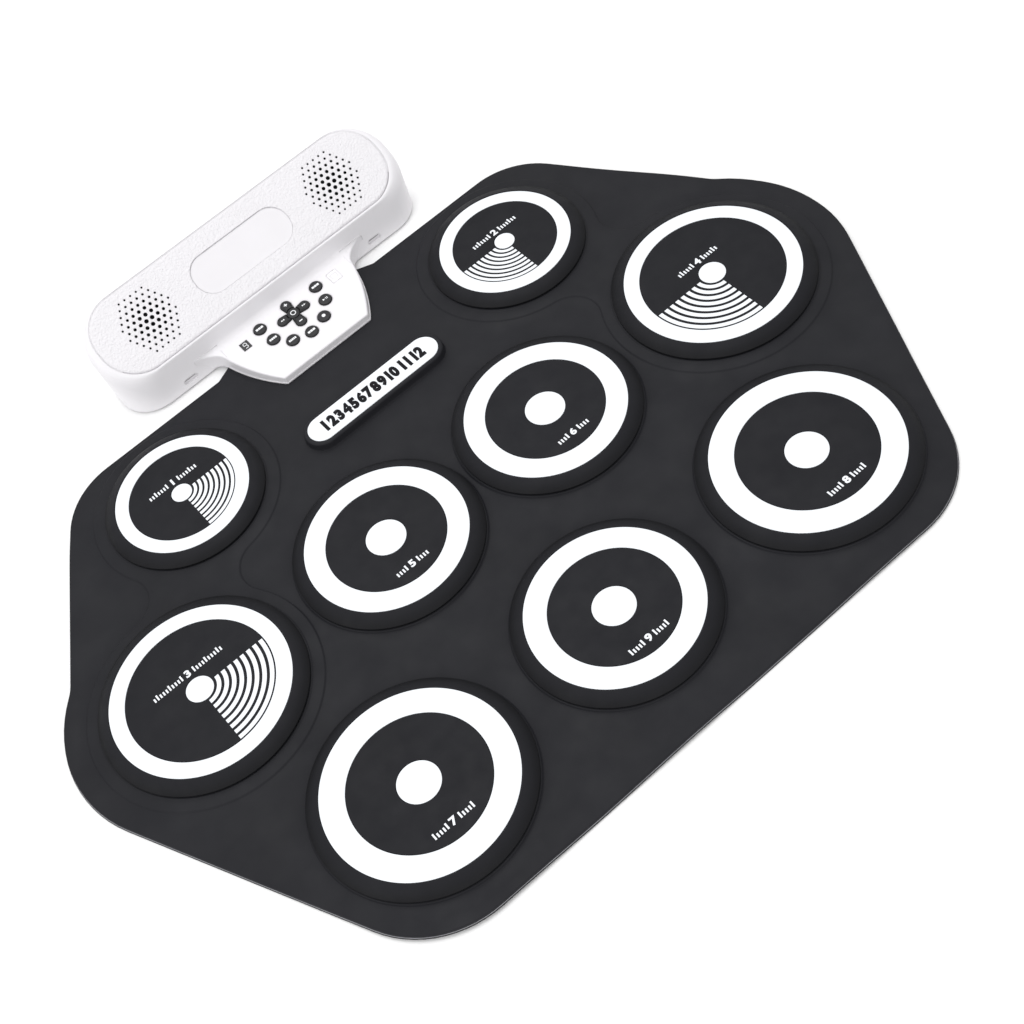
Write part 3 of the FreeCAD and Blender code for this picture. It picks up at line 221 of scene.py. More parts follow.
def grained_cover():
    """White plastic with an embossed leather grain, left smooth in the oval recess."""
    colour = (0.775, 0.76, 0.785)
    material, shader = new_material("grained_cover", colour, 0.5, 0.4)
    # cells whose places are shifted by a noise, so that the grain isn't regular
    cells = add_node(material, "ShaderNodeTexVoronoi", feature="SMOOTH_F1", Scale=760.0)
    warp = add_node(material, "ShaderNodeTexNoise", Scale=300.0, Detail=2.0)
    place = place_output(material)
    link(material, place, warp.inputs["Vector"])
    shift = vector_math(material, "MULTIPLY_ADD", warp.outputs["Color"], (GRAIN_SHIFT,) * 3)
    link(material, place, shift.inputs[2])
    link(material, shift.outputs["Vector"], cells.inputs["Vector"])
    # distance to the oval's outline, worked out in the plane of the face
    turned = add_node(material, "ShaderNodeMapping", vector_type="TEXTURE")
    turned.inputs["Location"].default_value = topmost("face_cover", FACE_UP)
    turned.inputs["Rotation"].default_value = (FACE_TILT, 0, 0)
    link(material, place, turned.inputs["Vector"])
    flat = vector_math(material, "MULTIPLY", turned.outputs["Vector"], (1, 1, 0))
    positive = vector_math(material, "ABSOLUTE", flat.outputs["Vector"])
    corner = (RECESS_HALF_X - RECESS_ROUND, RECESS_HALF_Y - RECESS_ROUND, 0)
    past = vector_math(material, "SUBTRACT", positive.outputs["Vector"], corner)
    outside = vector_math(material, "MAXIMUM", past.outputs["Vector"])
    reach = vector_math(material, "LENGTH", outside.outputs["Vector"])
    mask = ranged(material, reach.outputs["Value"], 0.0, 1.0,
                  RECESS_ROUND - 0.1 * MM, RECESS_ROUND + 0.5 * MM)
    height = add_node(material, "ShaderNodeMath", operation="MULTIPLY")
    link(material, cells.outputs["Distance"], height.inputs[0])
    link(material, mask, height.inputs[1])
    bumped(material, shader, height.outputs["Value"], 0.6 * MM, 0.9, under=edge_softened(material, 1.0 * MM))
    tint = tinted(material, noise_output(material, 45.0), shade(colour, 0.985), shade(colour, 1.01))
    link(material, tint, shader.inputs["Base Color"])
    return material


def metal(name, colour, roughness):
    material = surface(name, colour, roughness, spread=0.04, grain=2500.0, relief=0.01 * MM)
    material.node_tree.nodes["Principled BSDF"].inputs["Metallic"].default_value = 1.0
    return material


FACE_UP = Vector((0, -math.sin(FACE_TILT), math.cos(FACE_TILT)))
TONGUE_UP = Vector((0, -math.sin(TONGUE_SLOPE), math.cos(TONGUE_SLOPE)))
RECESS_HALF_X = 39.5 * MM
RECESS_HALF_Y = 14.5 * MM
RECESS_ROUND = 13.5 * MM
GRAIN_SHIFT = 1.6 * MM
# painted shade on the pads' bevels and rims: full colour from the first height up, dimmed to the share below
# at the rim's foot
SKIRT_FULL = 10.6 * MM
SKIRT_SHADE_SHARE = 0.3

silicone = surface("silicone", (0.0088, 0.0090, 0.0120), 0.62, 0.25, blotch=14.0, spread=0.10,
                   grain=1500.0, relief=0.03 * MM)
pad_silicone = surface("pad_silicone", (0.0068, 0.0070, 0.0098), 0.6, 0.22, blotch=25.0, spread=0.08,
                       grain=1500.0, relief=0.025 * MM)
# painted shade: the pads' silicone darkens down the bevel towards the undercut below the rim
darker_downwards(pad_silicone, RIM_LOW, SKIRT_FULL, SKIRT_SHADE_SHARE)
underside = surface("underside_silicone", (0.025, 0.025, 0.027), 0.75, 0.3, blotch=14.0, spread=0.10,
                    grain=500.0, relief=0.12 * MM)
inlay = surface("white_inlay", (0.86, 0.885, 0.92), 0.55, 0.35, blotch=40.0, spread=0.012,
                grain=1800.0, relief=0.012 * MM)
housing_plastic = surface("housing_plastic", (0.815, 0.80, 0.825), 0.42, 0.4, blotch=20.0, spread=0.01,
                          grain=1600.0, relief=0.012 * MM, soft_edge=1.6 * MM)
base_plastic = surface("base_plastic", (0.80, 0.79, 0.80), 0.5, 0.4, blotch=20.0, spread=0.02,
                       grain=1200.0, relief=0.03 * MM, soft_edge=0.4 * MM)
cover_plastic = grained_cover()
key_rubber = surface("key_rubber", (0.016, 0.016, 0.018), 0.5, 0.35, blotch=200.0, spread=0.08,
                     grain=3000.0, relief=0.01 * MM)
FINE_PRINT = {"blotch": 300.0, "spread": 0.02, "grain": 4000.0, "relief": 0.004 * MM}
mark_white = surface("mark_white", (0.85, 0.86, 0.88), 0.5, 0.3, **FINE_PRINT)
mark_grey = surface("mark_grey", (0.70, 0.69, 0.71), 0.5, 0.3, **FINE_PRINT)
mark_black = surface("mark_black", (0.004, 0.004, 0.006), 0.55, 0.15, blotch=120.0, spread=0.15,
                     grain=3000.0, relief=0.01 * MM)
grille_cloth = surface("grille_cloth", (0.003, 0.003, 0.0035), 0.95, 0.05, blotch=300.0, spread=0.2,
                       grain=2500.0, relief=0.1 * MM)
# painted shadow: dark grey for the strips under the top edges of the dents in the front wall
dent_shadow_grey = surface("dent_shadow_grey", (0.33, 0.31, 0.32), 0.6, 0.3, blotch=300.0, spread=0.08, grain=2500.0)
# painted highlight: pale grey for the bead along the mat's edge
mat_edge_highlight_grey = surface("mat_edge_highlight_grey", (0.30, 0.30, 0.32), 0.6, 0.3, blotch=60.0, spread=0.15, grain=900.0)
foot_rubber = surface("foot_rubber", (0.03, 0.03, 0.03), 0.8, 0.25, grain=900.0, relief=0.05 * MM)
dark_plastic = surface("dark_plastic", (0.018, 0.018, 0.02), 0.4, 0.5, soft_edge=0.2 * MM)
GLOSSY = {"blotch": 100.0, "grain": 400.0, "relief": 0.003 * MM, "rough_spread": 0.03}
window_dark = surface("window_dark", (0.006, 0.006, 0.007), 0.15, 0.5, spread=0.2, **GLOSSY)
window_pale = surface("window_pale", (0.84, 0.83, 0.85), 0.25, 0.5, spread=0.01, **GLOSSY)
steel = metal("steel", (0.62, 0.61, 0.60), 0.32)
board_green = surface("board_green", (0.02, 0.12, 0.06), 0.4, 0.5, blotch=200.0, spread=0.2)
film_amber = surface("film_amber", (0.55, 0.38, 0.12), 0.3, 0.5, blotch=60.0, spread=0.05)
sensor_brass = metal("sensor_brass", (0.72, 0.56, 0.28), 0.35)
cone_paper = surface("cone_paper", (0.006, 0.006, 0.007), 0.9, 0.1, blotch=300.0, spread=0.2, grain=1800.0,
                     relief=0.08 * MM)
basket_black = surface("basket_black", (0.008, 0.008, 0.009), 0.6, 0.3, blotch=90.0, spread=0.1)
battery_wrap = surface("battery_wrap", (0.05, 0.14, 0.32), 0.3, 0.5, blotch=90.0, spread=0.06)
lead_vinyl = surface("lead_vinyl", (0.35, 0.02, 0.02), 0.45, 0.5, blotch=90.0, spread=0.1)

SLOT_LOOKS = {
    "silicone_mat": silicone,
    "silicone_pad": pad_silicone,
    "silicone_underside": underside,
    "white_inlay": inlay,
    "white_housing": housing_plastic,
    "white_grained_cover": cover_plastic,
    "white_base": base_plastic,
    "foot_rubber": foot_rubber,
    "steel_screws": steel,
    "sensor_film": film_amber,
    "sensor_disc": sensor_brass,
    "key_mat_rubber": key_rubber,
    "key_plastic": key_rubber,
    "circuit_board": board_green,
    "display_window": window_dark,
    "indicator_lens": window_pale,
    "socket_plastic": dark_plastic,
    "socket_steel": steel,
    "switch_knob": dark_plastic,
    "battery_wrap": battery_wrap,
    "speaker_basket": basket_black,
    "speaker_cone": cone_paper,
    "lead_insulation": lead_vinyl,
}


def dress_cad_nodes():
    for part in frame["record"]["subparts"]:
        materials = nodes[part["node"]].data.materials
        materials.clear()
        materials.append(SLOT_LOOKS[part["material_slot"]])


# ---- shapes

def link_object(obj):
    bpy.context.scene.collection.objects.link(obj)


def rounded(corners, closed=True, arc_step=math.radians(5)):
    """A path of (x, y) points: each corner (x, y, radius) becomes an arc."""
    path = []
    for index, (x, y, radius) in enumerate(corners):
        here = Vector((x, y))
        at_end = not closed and index in (0, len(corners) - 1)
        if radius == 0 or at_end:
            path.append(here)
            continue
        before = (Vector(corners[index - 1][:2]) - here).normalized()
        after = (Vector(corners[(index + 1) % len(corners)][:2]) - here).normalized()
        half = before.angle(after) / 2
        centre = here + (before + after).normalized() * radius / math.sin(half)
        start = here + before * radius / math.tan(half) - centre
        turn = math.pi - 2 * half
        if before.cross(after) > 0:
            turn = -turn
        steps = max(2, math.ceil(abs(turn) / arc_step))
        for step in range(steps + 1):
            path.append(centre + Matrix.Rotation(turn * step / steps, 2) @ start)
    return path


def divided(path, longest):
    """The closed path again, with its long straight runs divided."""
    points = []
    for here, after in zip(path, path[1:] + path[:1]):
        steps = max(1, math.ceil((after - here).length / longest))
        for step in range(steps):
            points.append(here.lerp(after, step / steps))
    return points


def inset_point(path, index, distance):
    """One point of a closed counter-clockwise path, moved inwards."""
    run = path[(index + 1) % len(path)] - path[index - 1]
    return path[index] + Vector((-run.y, run.x)).normalized() * distance


def inset(path, distance):
    return [inset_point(path, index, distance) for index in range(len(path))]


def along(angle):
    return Vector((math.cos(angle), math.sin(angle)))


def circle(centre, radius, count=160):
    return [centre + along(2 * math.pi * index / count) * radius for index in range(count)]


def add_row(bm, path, z):
    return [bm.verts.new((p.x, p.y, z)) for p in path]


def add_walls(bm, rows):
    """Joins rows of vertices, each a closed loop with as many as the next, by quads."""
    for lower, upper in zip(rows, rows[1:]):
        for index in range(len(lower)):
            after = (index + 1) % len(lower)
            bm.faces.new((lower[index], lower[after], upper[after], upper[index]))


def add_shell(bm, rows):
    """The walls on rows of vertices, closed by a face at each end."""
    add_walls(bm, rows)
    return [bm.faces.new(list(reversed(rows[0]))), bm.faces.new(rows[-1])]


def add_spun(bm, profile, centre, count=192, ring=False):
    """Turns a profile of (radius, z) about the vertical through centre; ring closes it on itself."""
    turns = [2 * math.pi * index / count for index in range(count)]
    rows = []
    for radius, z in profile:
        if radius < 1e-7:
            rows.append([bm.verts.new((centre.x, centre.y, z))])
        else:
            rows.append([bm.verts.new((centre.x + radius * math.cos(t), centre.y + radius * math.sin(t), z))
                         for t in turns])
    pairs = list(zip(rows, rows[1:]))
    if ring:
        pairs.append((rows[-1], rows[0]))
    for low, high in pairs:
        for index in range(count):
            after = (index + 1) % count
            if len(low) == 1:
                bm.faces.new((low[0], high[after], high[index]))
            elif len(high) == 1:
                bm.faces.new((low[index], low[after], high[0]))
            else:
                bm.faces.new((low[index], low[after], high[after], high[index]))


def add_prism(bm, outline, low, high, bevel=0.0):
    """A flat-topped solid on a closed counter-clockwise outline, with a small slope round its top."""
    rows = [add_row(bm, outline, low)]
    if bevel:
        rows.append(add_row(bm, outline, high - bevel))
    rows.append(add_row(bm, inset(outline, bevel), high))
    add_shell(bm, rows)


def add_bar(bm, x, y, width, height, low, high):
    box = [Vector((x - width / 2, y - height / 2)), Vector((x + width / 2, y - height / 2)),
           Vector((x + width / 2, y + height / 2)), Vector((x - width / 2, y + height / 2))]
    add_prism(bm, box, low, high)


def add_triangle(bm, x, y, size, pointing, low, high):
    """An arrowhead that points to +X or -X, by the sign of pointing."""
    tip = Vector((x + pointing * size / 2, y))
    back = x - pointing * size / 2
    corners = [tip, Vector((back, y + size / 2 * pointing)), Vector((back, y - size / 2 * pointing))]
    add_prism(bm, corners, low, high)


def add_ribbon(bm, outer, inner, low, high):
    """A flat-topped strip between two open paths of as many points."""
    outline = outer + list(reversed(inner))
    lower, upper = add_row(bm, outline, low), add_row(bm, outline, high)
    add_walls(bm, [lower, upper])
    for near in range(len(outer) - 1):
        far = len(outline) - 1 - near
        bm.faces.new((upper[near], upper[near + 1], upper[far - 1], upper[far]))
        bm.faces.new((lower[near + 1], lower[near], lower[far], lower[far - 1]))


def add_band(bm, centre, inner, outer, start, end, low, high):
    """A stretch of a flat ring."""
    steps = max(4, math.ceil(abs(end - start) / math.radians(3)))
    turns = [start + (end - start) * step / steps for step in range(steps + 1)]
    outer_edge, inner_edge = ([centre.to_2d() + along(turn) * radius for turn in turns]
                              for radius in (outer, inner))
    add_ribbon(bm, outer_edge, inner_edge, low, high)


def add_numeral(bm, text, x, y, low, high, height, width=1.0, bold=0.0):
    """Numerals centred on (x, y), as tall as height."""
    curve = bpy.data.curves.new("numeral", "FONT")
    curve.body = text
    curve.align_x = "CENTER"
    curve.align_y = "CENTER"
    curve.extrude = 0.5
    curve.offset = bold
    curve.resolution_u = 4
    holder = bpy.data.objects.new("numeral", curve)
    link_object(holder)
    bpy.context.view_layer.update()
    mesh = bpy.data.meshes.new_from_object(holder)
    points = np.array([v.co for v in mesh.vertices])
    lowest, highest = points.min(0), points.max(0)
    scale = height / (highest[1] - lowest[1])
    centre = (lowest + highest) / 2
    mesh.transform(Matrix.Translation((-centre[0], -centre[1], 0.0)))
    mesh.transform(Matrix.Diagonal((scale * width, scale, high - low, 1)))
    mesh.transform(Matrix.Translation((x, y, (low + high) / 2)))
    bm.from_mesh(mesh)
    bpy.data.objects.remove(holder)
    bpy.data.curves.remove(curve)
    bpy.data.meshes.remove(mesh)


def piece(bm, name, material, body, stands_for=(), matrix=None, sharp=35.0):
    """Turns bm into a piece that rides on a body, in the given material."""
    bmesh.ops.remove_doubles(bm, verts=bm.verts, dist=1e-6)
    bmesh.ops.recalc_face_normals(bm, faces=bm.faces)
    mesh = bpy.data.meshes.new(name)
    bm.to_mesh(mesh)
    bm.free()
    if matrix is not None:
        mesh.transform(matrix)
    mesh.shade_smooth()
    mesh.set_sharp_from_angle(angle=math.radians(sharp))
    mesh.materials.append(material)
    obj = bpy.data.objects.new(name, mesh)
    link_object(obj)
    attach(obj, body)
    if stands_for:
        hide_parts(*stands_for)
    return obj


# ---- mat

def meet(first, second):
    """Where two lines cross, each given as the angle of its normal and its distance from the origin."""
    (a, p), (b, q) = first, second
    swing = math.sin(b - a)
    return (p * math.sin(b) - q * math.sin(a)) / swing, (q * math.cos(a) - p * math.cos(b)) / swing


FRONT_FLANK = math.radians(-25.2)
BACK_FLANK = math.radians(29.7)
FLANK_INSET = 4.2 * MM
FLANK_BLEND = 30.0 * MM
FRONT_ROUND = 66.0 * MM
BACK_ROUND = 52.0 * MM
NECK_HALF = 56.0 * MM
NECK_FOOT_HALF = 68.0 * MM
CRASH_ISLAND = 64.0 * MM
RIDE_ISLAND = 75.0 * MM
ISLAND_WAIST = 21.0 * MM
EDGE_LIFT = 2.6 * MM
LIFT_BAND = 26.0 * MM
LIFT_FADE_START = cad_low.y + 0.82 * (cad_high.y - cad_low.y) - 30.0 * MM
LIFT_FADE_END = 165.0 * MM
SHEET_SPACING = 9.0 * MM
BASE_SPACING = 12.0 * MM


def mat_corners(with_neck):
    """The right half's corners, as tangent lines that meet, each with its radius; then the left half."""
    ride = middle("ride_pad").to_2d()
    low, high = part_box("mat_base_sheet")
    bump = high.x - ride.x
    reach = bump - FLANK_INSET
    slide = math.sqrt((bump + FLANK_BLEND) ** 2 - (reach + FLANK_BLEND) ** 2)
    hollow = BACK_FLANK + math.atan2(slide, reach + FLANK_BLEND)
    front = (math.radians(-90), -low.y)
    flank = (FRONT_FLANK, along(FRONT_FLANK).dot(ride) + bump)
    between = (hollow, along(hollow).dot(ride) + bump)
    back_flank = (BACK_FLANK, along(BACK_FLANK).dot(ride) + reach)
    back = (math.radians(90), high.y)
    half = [
        (*meet(front, flank), FRONT_ROUND),
        (*meet(flank, between), bump),
        (*meet(between, back_flank), FLANK_BLEND),
        (*meet(back_flank, back), BACK_ROUND),
    ]
    if with_neck:
        neck_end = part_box("mat_top_sheet")[1].y
        half += [
            (NECK_FOOT_HALF, high.y, 2.0 * MM),
            (NECK_HALF, neck_end - 4.0 * MM, 1.0 * MM),
            (NECK_HALF, neck_end, 0.0),
        ]
    return half + [(-x, y, radius) for x, y, radius in reversed(half)]


def platform_path(crash, ride):
    """Two circles round a pair of cymbal pads, joined by a waist, as arcs worked out from the pads."""
    gap = ride - crash
    to_crash, to_ride = CRASH_ISLAND + ISLAND_WAIST, RIDE_ISLAND + ISLAND_WAIST
    shift = (to_crash ** 2 - to_ride ** 2 + gap.length ** 2) / (2 * gap.length)
    rise = math.sqrt(to_crash ** 2 - shift ** 2)
    heading = math.atan2(gap.y, gap.x)
    crash_half = math.atan2(rise, shift)
    ride_half = math.atan2(rise, gap.length - shift)
    back = heading + math.pi
    outer = crash + along(heading) * shift + along(heading + math.pi / 2) * rise
    inner = crash + along(heading) * shift - along(heading + math.pi / 2) * rise

    def swept(centre, radius, start, end):
        steps = max(3, math.ceil(abs(end - start) / math.radians(3)))
        return [centre + along(start + (end - start) * step / steps) * radius for step in range(steps)]

    path = swept(crash, CRASH_ISLAND, heading + crash_half, heading + 2 * math.pi - crash_half)
    path += swept(inner, ISLAND_WAIST, heading + math.pi - crash_half, heading + ride_half)
    path += swept(ride, RIDE_ISLAND, back + ride_half, back + 2 * math.pi - ride_half)
    path += swept(outer, ISLAND_WAIST, back + math.pi - ride_half, back + crash_half)
    return path


def smooth(value, low, high):
    t = min(max((value - low) / (high - low), 0.0), 1.0)
    return t * t * (3 - 2 * t)


bosses = [(middle(name).to_2d(), pad_ring(name) + BOSS_OUT) for name in PADS]


def tree_of(points):
    tree = KDTree(len(points))
    for index, point in enumerate(points):
        tree.insert((point.x, point.y, 0.0), index)
    tree.balance()
    return tree


outline = divided(rounded(mat_corners(True)), 4.0 * MM)
edge_tree = tree_of(divided(rounded(mat_corners(False)), 1.5 * MM))


def lift(x, y):
    """How far the mat's edge stands off the table: soft waves in a band along the edge, none under pads."""
    to_edge = edge_tree.find((x, y, 0.0))[2]
    to_pad = min((Vector((x, y)) - centre).length - radius for centre, radius in bosses)
    band = (1 - smooth(to_edge, 0.0, LIFT_BAND)) * smooth(to_pad, 1.0 * MM, 14.0 * MM)
    near_console = 1 - smooth(y, LIFT_FADE_START, LIFT_FADE_END)
    wave = noise.noise(Vector((x * 11.0 + 3.1, y * 11.0, 0.7))) + 0.35
    return EDGE_LIFT * max(wave, 0.0) * band * near_console


def add_sheet(bm, edge, edge_profile, holes, steps, top, bottom, spacing):
    """A moulded sheet. edge is its outline, edge_profile how its side runs from top to bottom as
    (inset, z) pairs, holes are closed paths cut through it, steps are closed paths with their
    heights, and top and bottom give the height elsewhere."""
    rim = inset(edge, edge_profile[0][0])
    loops = [(rim, None)] + [(hole, None) for hole in holes] + steps
    points, fixed, edges = [], [], []
    for path, height in loops:
        first = len(points)
        for index, point in enumerate(path):
            points.append(point)
            fixed.append(height)
            edges.append((first + index, first + (index + 1) % len(path)))
    near = tree_of(points)
    row_gap = spacing * math.sqrt(3) / 2
    rows = int((cad_high.y - cad_low.y) / row_gap) + 1
    columns = int((cad_high.x - cad_low.x) / spacing) + 2
    for row in range(rows):
        for column in range(columns):
            x = cad_low.x + (column + 0.5 * (row % 2)) * spacing
            y = cad_low.y + row * row_gap
            if near.find((x, y, 0.0))[2] > spacing * 0.45:
                points.append(Vector((x, y)))
                fixed.append(None)
    flat, _, faces, origins, _, _ = delaunay_2d_cdt(points, edges, [], 1, 1e-7)
    hole_discs = [(sum(hole, Vector((0, 0))) / len(hole), (hole[0] - hole[len(hole) // 2]).length / 2)
                  for hole in holes]
    kept = []
    for face in faces:
        heart = sum((flat[i] for i in face), Vector((0, 0))) / 3
        if all((heart - centre).length > radius for centre, radius in hole_discs):
            kept.append(face)
    used = sorted({i for face in kept for i in face})
    upper, lower = {}, {}
    for i in used:
        x, y = flat[i]
        raised = lift(x, y)
        given = [fixed[o] for o in origins[i] if fixed[o] is not None]
        upper[i] = bm.verts.new((x, y, (given[0] if given else top(x, y)) + raised))
        lower[i] = bm.verts.new((x, y, bottom(x, y) + raised))
    for face in kept:
        bm.faces.new([upper[i] for i in face])
        bm.faces.new([lower[i] for i in reversed(face)])
    # side walls: straight through the holes, shaped along the outline
    index_of = {}
    for i in used:
        for o in origins[i]:
            index_of[o] = i
    first = len(rim)
    for hole in holes:
        ids = [index_of[first + k] for k in range(len(hole))]
        for a, b in zip(ids, ids[1:] + ids[:1]):
            bm.faces.new((upper[a], upper[b], lower[b], lower[a]))
        first += len(hole)
    ids = [index_of[k] for k in range(len(rim))]
    columns = []
    for k, i in enumerate(ids):
        raised = lift(*flat[i])
        column = [upper[i]]
        for distance, z in edge_profile[1:]:
            p = inset_point(edge, k, distance)
            column.append(bm.verts.new((p.x, p.y, z + raised)))
        column.append(lower[i])
        columns.append(column)
    for left, right in zip(columns, columns[1:] + columns[:1]):
        for k in range(len(left) - 1):
            bm.faces.new((left[k], left[k + 1], right[k + 1], right[k]))


def inside(point, path):
    """Whether a point lies inside a closed path."""
    crossed = False
    for a, b in zip(path, path[1:] + path[:1]):
        if (a.y > point.y) != (b.y > point.y):
            if point.x < a.x + (point.y - a.y) * (b.x - a.x) / (b.y - a.y):
                crossed = not crossed
    return crossed


def make_mat():
    platform = platform_path(middle("right_crash_pad").to_2d(), middle("ride_pad").to_2d())
    platforms = [platform, [Vector((-p.x, p.y)) for p in reversed(platform)]]
    steps = []
    for path in platforms:
        # a soft step: foot, slope and a rounded brow
        for distance, rise in ((-0.9, 0.0), (-0.35, 0.25), (0.1, 0.8), (0.7, 1.0)):
            steps.append((inset(path, distance * MM), SHEET_TOP + rise * (PLATFORM_TOP - SHEET_TOP)))
    for name, (centre, radius) in zip(PADS, bosses):
        floor = PLATFORM_TOP if name in CYMBALS else SHEET_TOP
        for distance, rise in ((-1.1, 0.0), (-0.5, 0.16), (-0.1, 0.5), (0.1, 0.85), (0.6, 1.0)):
            steps.append((circle(centre, radius - distance * MM), floor + rise * (BOSS_TOP - floor)))

    def top(x, y):
        here = Vector((x, y))
        if any((here - centre).length < radius for centre, radius in bosses):
            return BOSS_TOP
        return PLATFORM_TOP if any(inside(here, path) for path in platforms) else SHEET_TOP

    def bottom(x, y):
        to_edge = edge_tree.find((x, y, 0.0))[2]
        return BASE_TOP + 0.25 * MM * smooth(to_edge, 4 * MM, 7 * MM)

    wells = [circle(centre, radius - BOSS_OUT - WELL_IN) for centre, radius in bosses]
    bm = bmesh.new()
    side = [(1.5 * MM, SHEET_TOP), (1.0 * MM, 2.9 * MM), (0.75 * MM, 2.55 * MM), (0.7 * MM, 1.25 * MM),
            (0.8 * MM, 1.05 * MM)]
    add_sheet(bm, outline, side, wells, steps, top, bottom, SHEET_SPACING)
    piece(bm, "mat_skin", silicone, MAIN, ["mat_top_sheet"], sharp=50)

    bm = bmesh.new()
    base_edge = divided(rounded(mat_corners(False)), 4.0 * MM)
    side = [(0.5 * MM, BASE_TOP), (0.12 * MM, 0.85 * MM), (0.0, 0.6 * MM), (0.0, 0.3 * MM),
            (0.15 * MM, 0.08 * MM)]
    add_sheet(bm, base_edge, side, [], [], lambda x, y: BASE_TOP, lambda x, y: 0.0, BASE_SPACING)
    piece(bm, "mat_base", underside, MAIN, ["mat_base_sheet"], sharp=50)

    # a pale grey bead between the two sheets: painted highlight along the foot of the mat's edge
    bm = bmesh.new()
    rows = []
    for distance, z in ((0.9, 1.0), (0.4, 1.0), (0.35, 1.12), (0.45, 1.25), (0.9, 1.25)):
        rows.append([bm.verts.new((p.x, p.y, z * MM + lift(p.x, p.y)))
                     for p in inset(base_edge, distance * MM)])
    add_walls(bm, rows + rows[:1])
    piece(bm, "mat_edge_highlight_bead", mat_edge_highlight_grey, MAIN, sharp=60)


# ---- pads

# each pad's white marks, in millimetres: the ring's inner edge, the dot's radius, how far the number
# stands from the pad's centre, and how wide it is with its ticks
PAD_MARKS = {
    "left_crash_pad": (36.5, 7.0, 12.0, 39.0),
    "right_crash_pad": (36.5, 7.0, 12.0, 39.0),
    "hi_hat_pad": (47.4, 8.8, 14.5, 51.0),
    "ride_pad": (47.4, 8.8, 14.5, 35.0),
    "high_tom_pad": (38.7, 12.9, -27.5, 26.0),
    "low_tom_pad": (38.7, 12.9, -27.5, 26.0),
    "snare_pad": (42.6, 13.1, -32.0, 30.0),
    "floor_tom_pad": (42.6, 13.1, -32.0, 30.0),
    "bass_pad": (39.2, 13.1, -30.0, 30.0),
}
GROOVE = 0.35 * MM
GROOVE_DEEP = 0.5 * MM
STRIPES = 8
PRINT = 0.12 * MM
PRINT_SUNK = 0.05 * MM
PAD_DIGIT_HIGH = 5.4 * MM
TICK_FIRST = 4.6 * MM
TICK_PITCH = 2.2 * MM
TICK_THICK = 1.1 * MM
TICK_DOWN = 2.1 * MM


def make_pad(number, name):
    centre = middle(name)
    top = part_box(name)[1].z
    ring = pad_ring(name)
    ring_in, dot, offset, width = (value * MM for value in PAD_MARKS[name])
    floor = top - GROOVE_DEEP
    rim = ring + RIM_OUT
    profile = rounded([
        (0.0, PLUG_LOW, 0),
        (ring - PLUG_IN, PLUG_LOW, 0.4 * MM),
        (ring - PLUG_IN, RIM_LOW, 0.3 * MM),
        (rim, RIM_LOW, 0.35 * MM),
        (rim, RIM_HIGH, 0.55 * MM),
        (ring + 5.6 * MM, top - 2.05 * MM, 14.0 * MM),
        (ring + FLAT_OUT, top, 1.2 * MM),
        (ring + GROOVE, top, 0.12 * MM),
        (ring + GROOVE, floor, 0.1 * MM),
        (ring_in - GROOVE, floor, 0.1 * MM),
        (ring_in - GROOVE, top, 0.12 * MM),
        (dot + GROOVE, top, 0.12 * MM),
        (dot + GROOVE, floor, 0.1 * MM),
        (0.0, floor, 0),
    ], closed=False, arc_step=math.radians(18))
    bm = bmesh.new()
    add_spun(bm, profile, centre)
    piece(bm, name + "_skin", pad_silicone, name, [name])

    bm = bmesh.new()
    brow = 0.15 * MM
    ring_profile = rounded([
        (ring_in, floor, 0), (ring, floor, 0), (ring, top, brow), (ring_in, top, brow),
    ], arc_step=math.radians(30))
    add_spun(bm, ring_profile, centre, ring=True)
    dot_profile = rounded([(0.0, floor, 0), (dot, floor, 0), (dot, top, brow), (0.0, top, 0)],
                          closed=False, arc_step=math.radians(30))
    add_spun(bm, dot_profile, centre, count=96)
    piece(bm, name + "_inlay", inlay, name)

    bm = bmesh.new()
    if name in CYMBALS:
        pitch = (ring_in - dot) / (STRIPES + 0.2)
        start = math.radians(-90 if centre.x < 0 else 180)
        for stripe in range(STRIPES):
            inner = dot + pitch * (stripe + 0.42)
            add_band(bm, centre, inner, inner + 0.58 * pitch, start, start + math.pi / 2,
                     top - PRINT_SUNK, top + PRINT)
    add_numeral(bm, str(number), centre.x, centre.y + offset, top - PRINT_SUNK, top + PRINT,
                PAD_DIGIT_HIGH, 1.15, 0.04)
    add_ticks(bm, centre.x, centre.y + offset, width, top)
    piece(bm, name + "_print", inlay, name)


def add_ticks(bm, x, y, width, top):
    """Scale ticks on both sides of a pad's number, every fourth one taller."""
    count = int((width / 2 - TICK_FIRST) / TICK_PITCH) + 1
    for side in (-1, 1):
        for tick in range(count):
            tall = 4.2 * MM if tick % 4 == 0 else 2.9 * MM
            middle_x = x + side * (TICK_FIRST + tick * TICK_PITCH)
            add_bar(bm, middle_x, y - TICK_DOWN + tall / 2, TICK_THICK, tall, top - PRINT_SUNK, top + PRINT)


# ---- badge

def pill_path(x, y, length, width):
    """A round-ended outline. Its corners' radius is a touch short of half the width, so that no two
    arcs end in the same point."""
    half, end = length / 2, width / 2
    radius = end * 0.9999
    return rounded([(x - half, y - end, radius), (x + half, y - end, radius),
                    (x + half, y + end, radius), (x - half, y + end, radius)])


BADGE_DIGIT = 4.7 * MM
BADGE_GAP = 1.3 * MM
BADGE_DIGIT_HIGH = 10.4 * MM
PLATE_GAP = 0.15 * MM


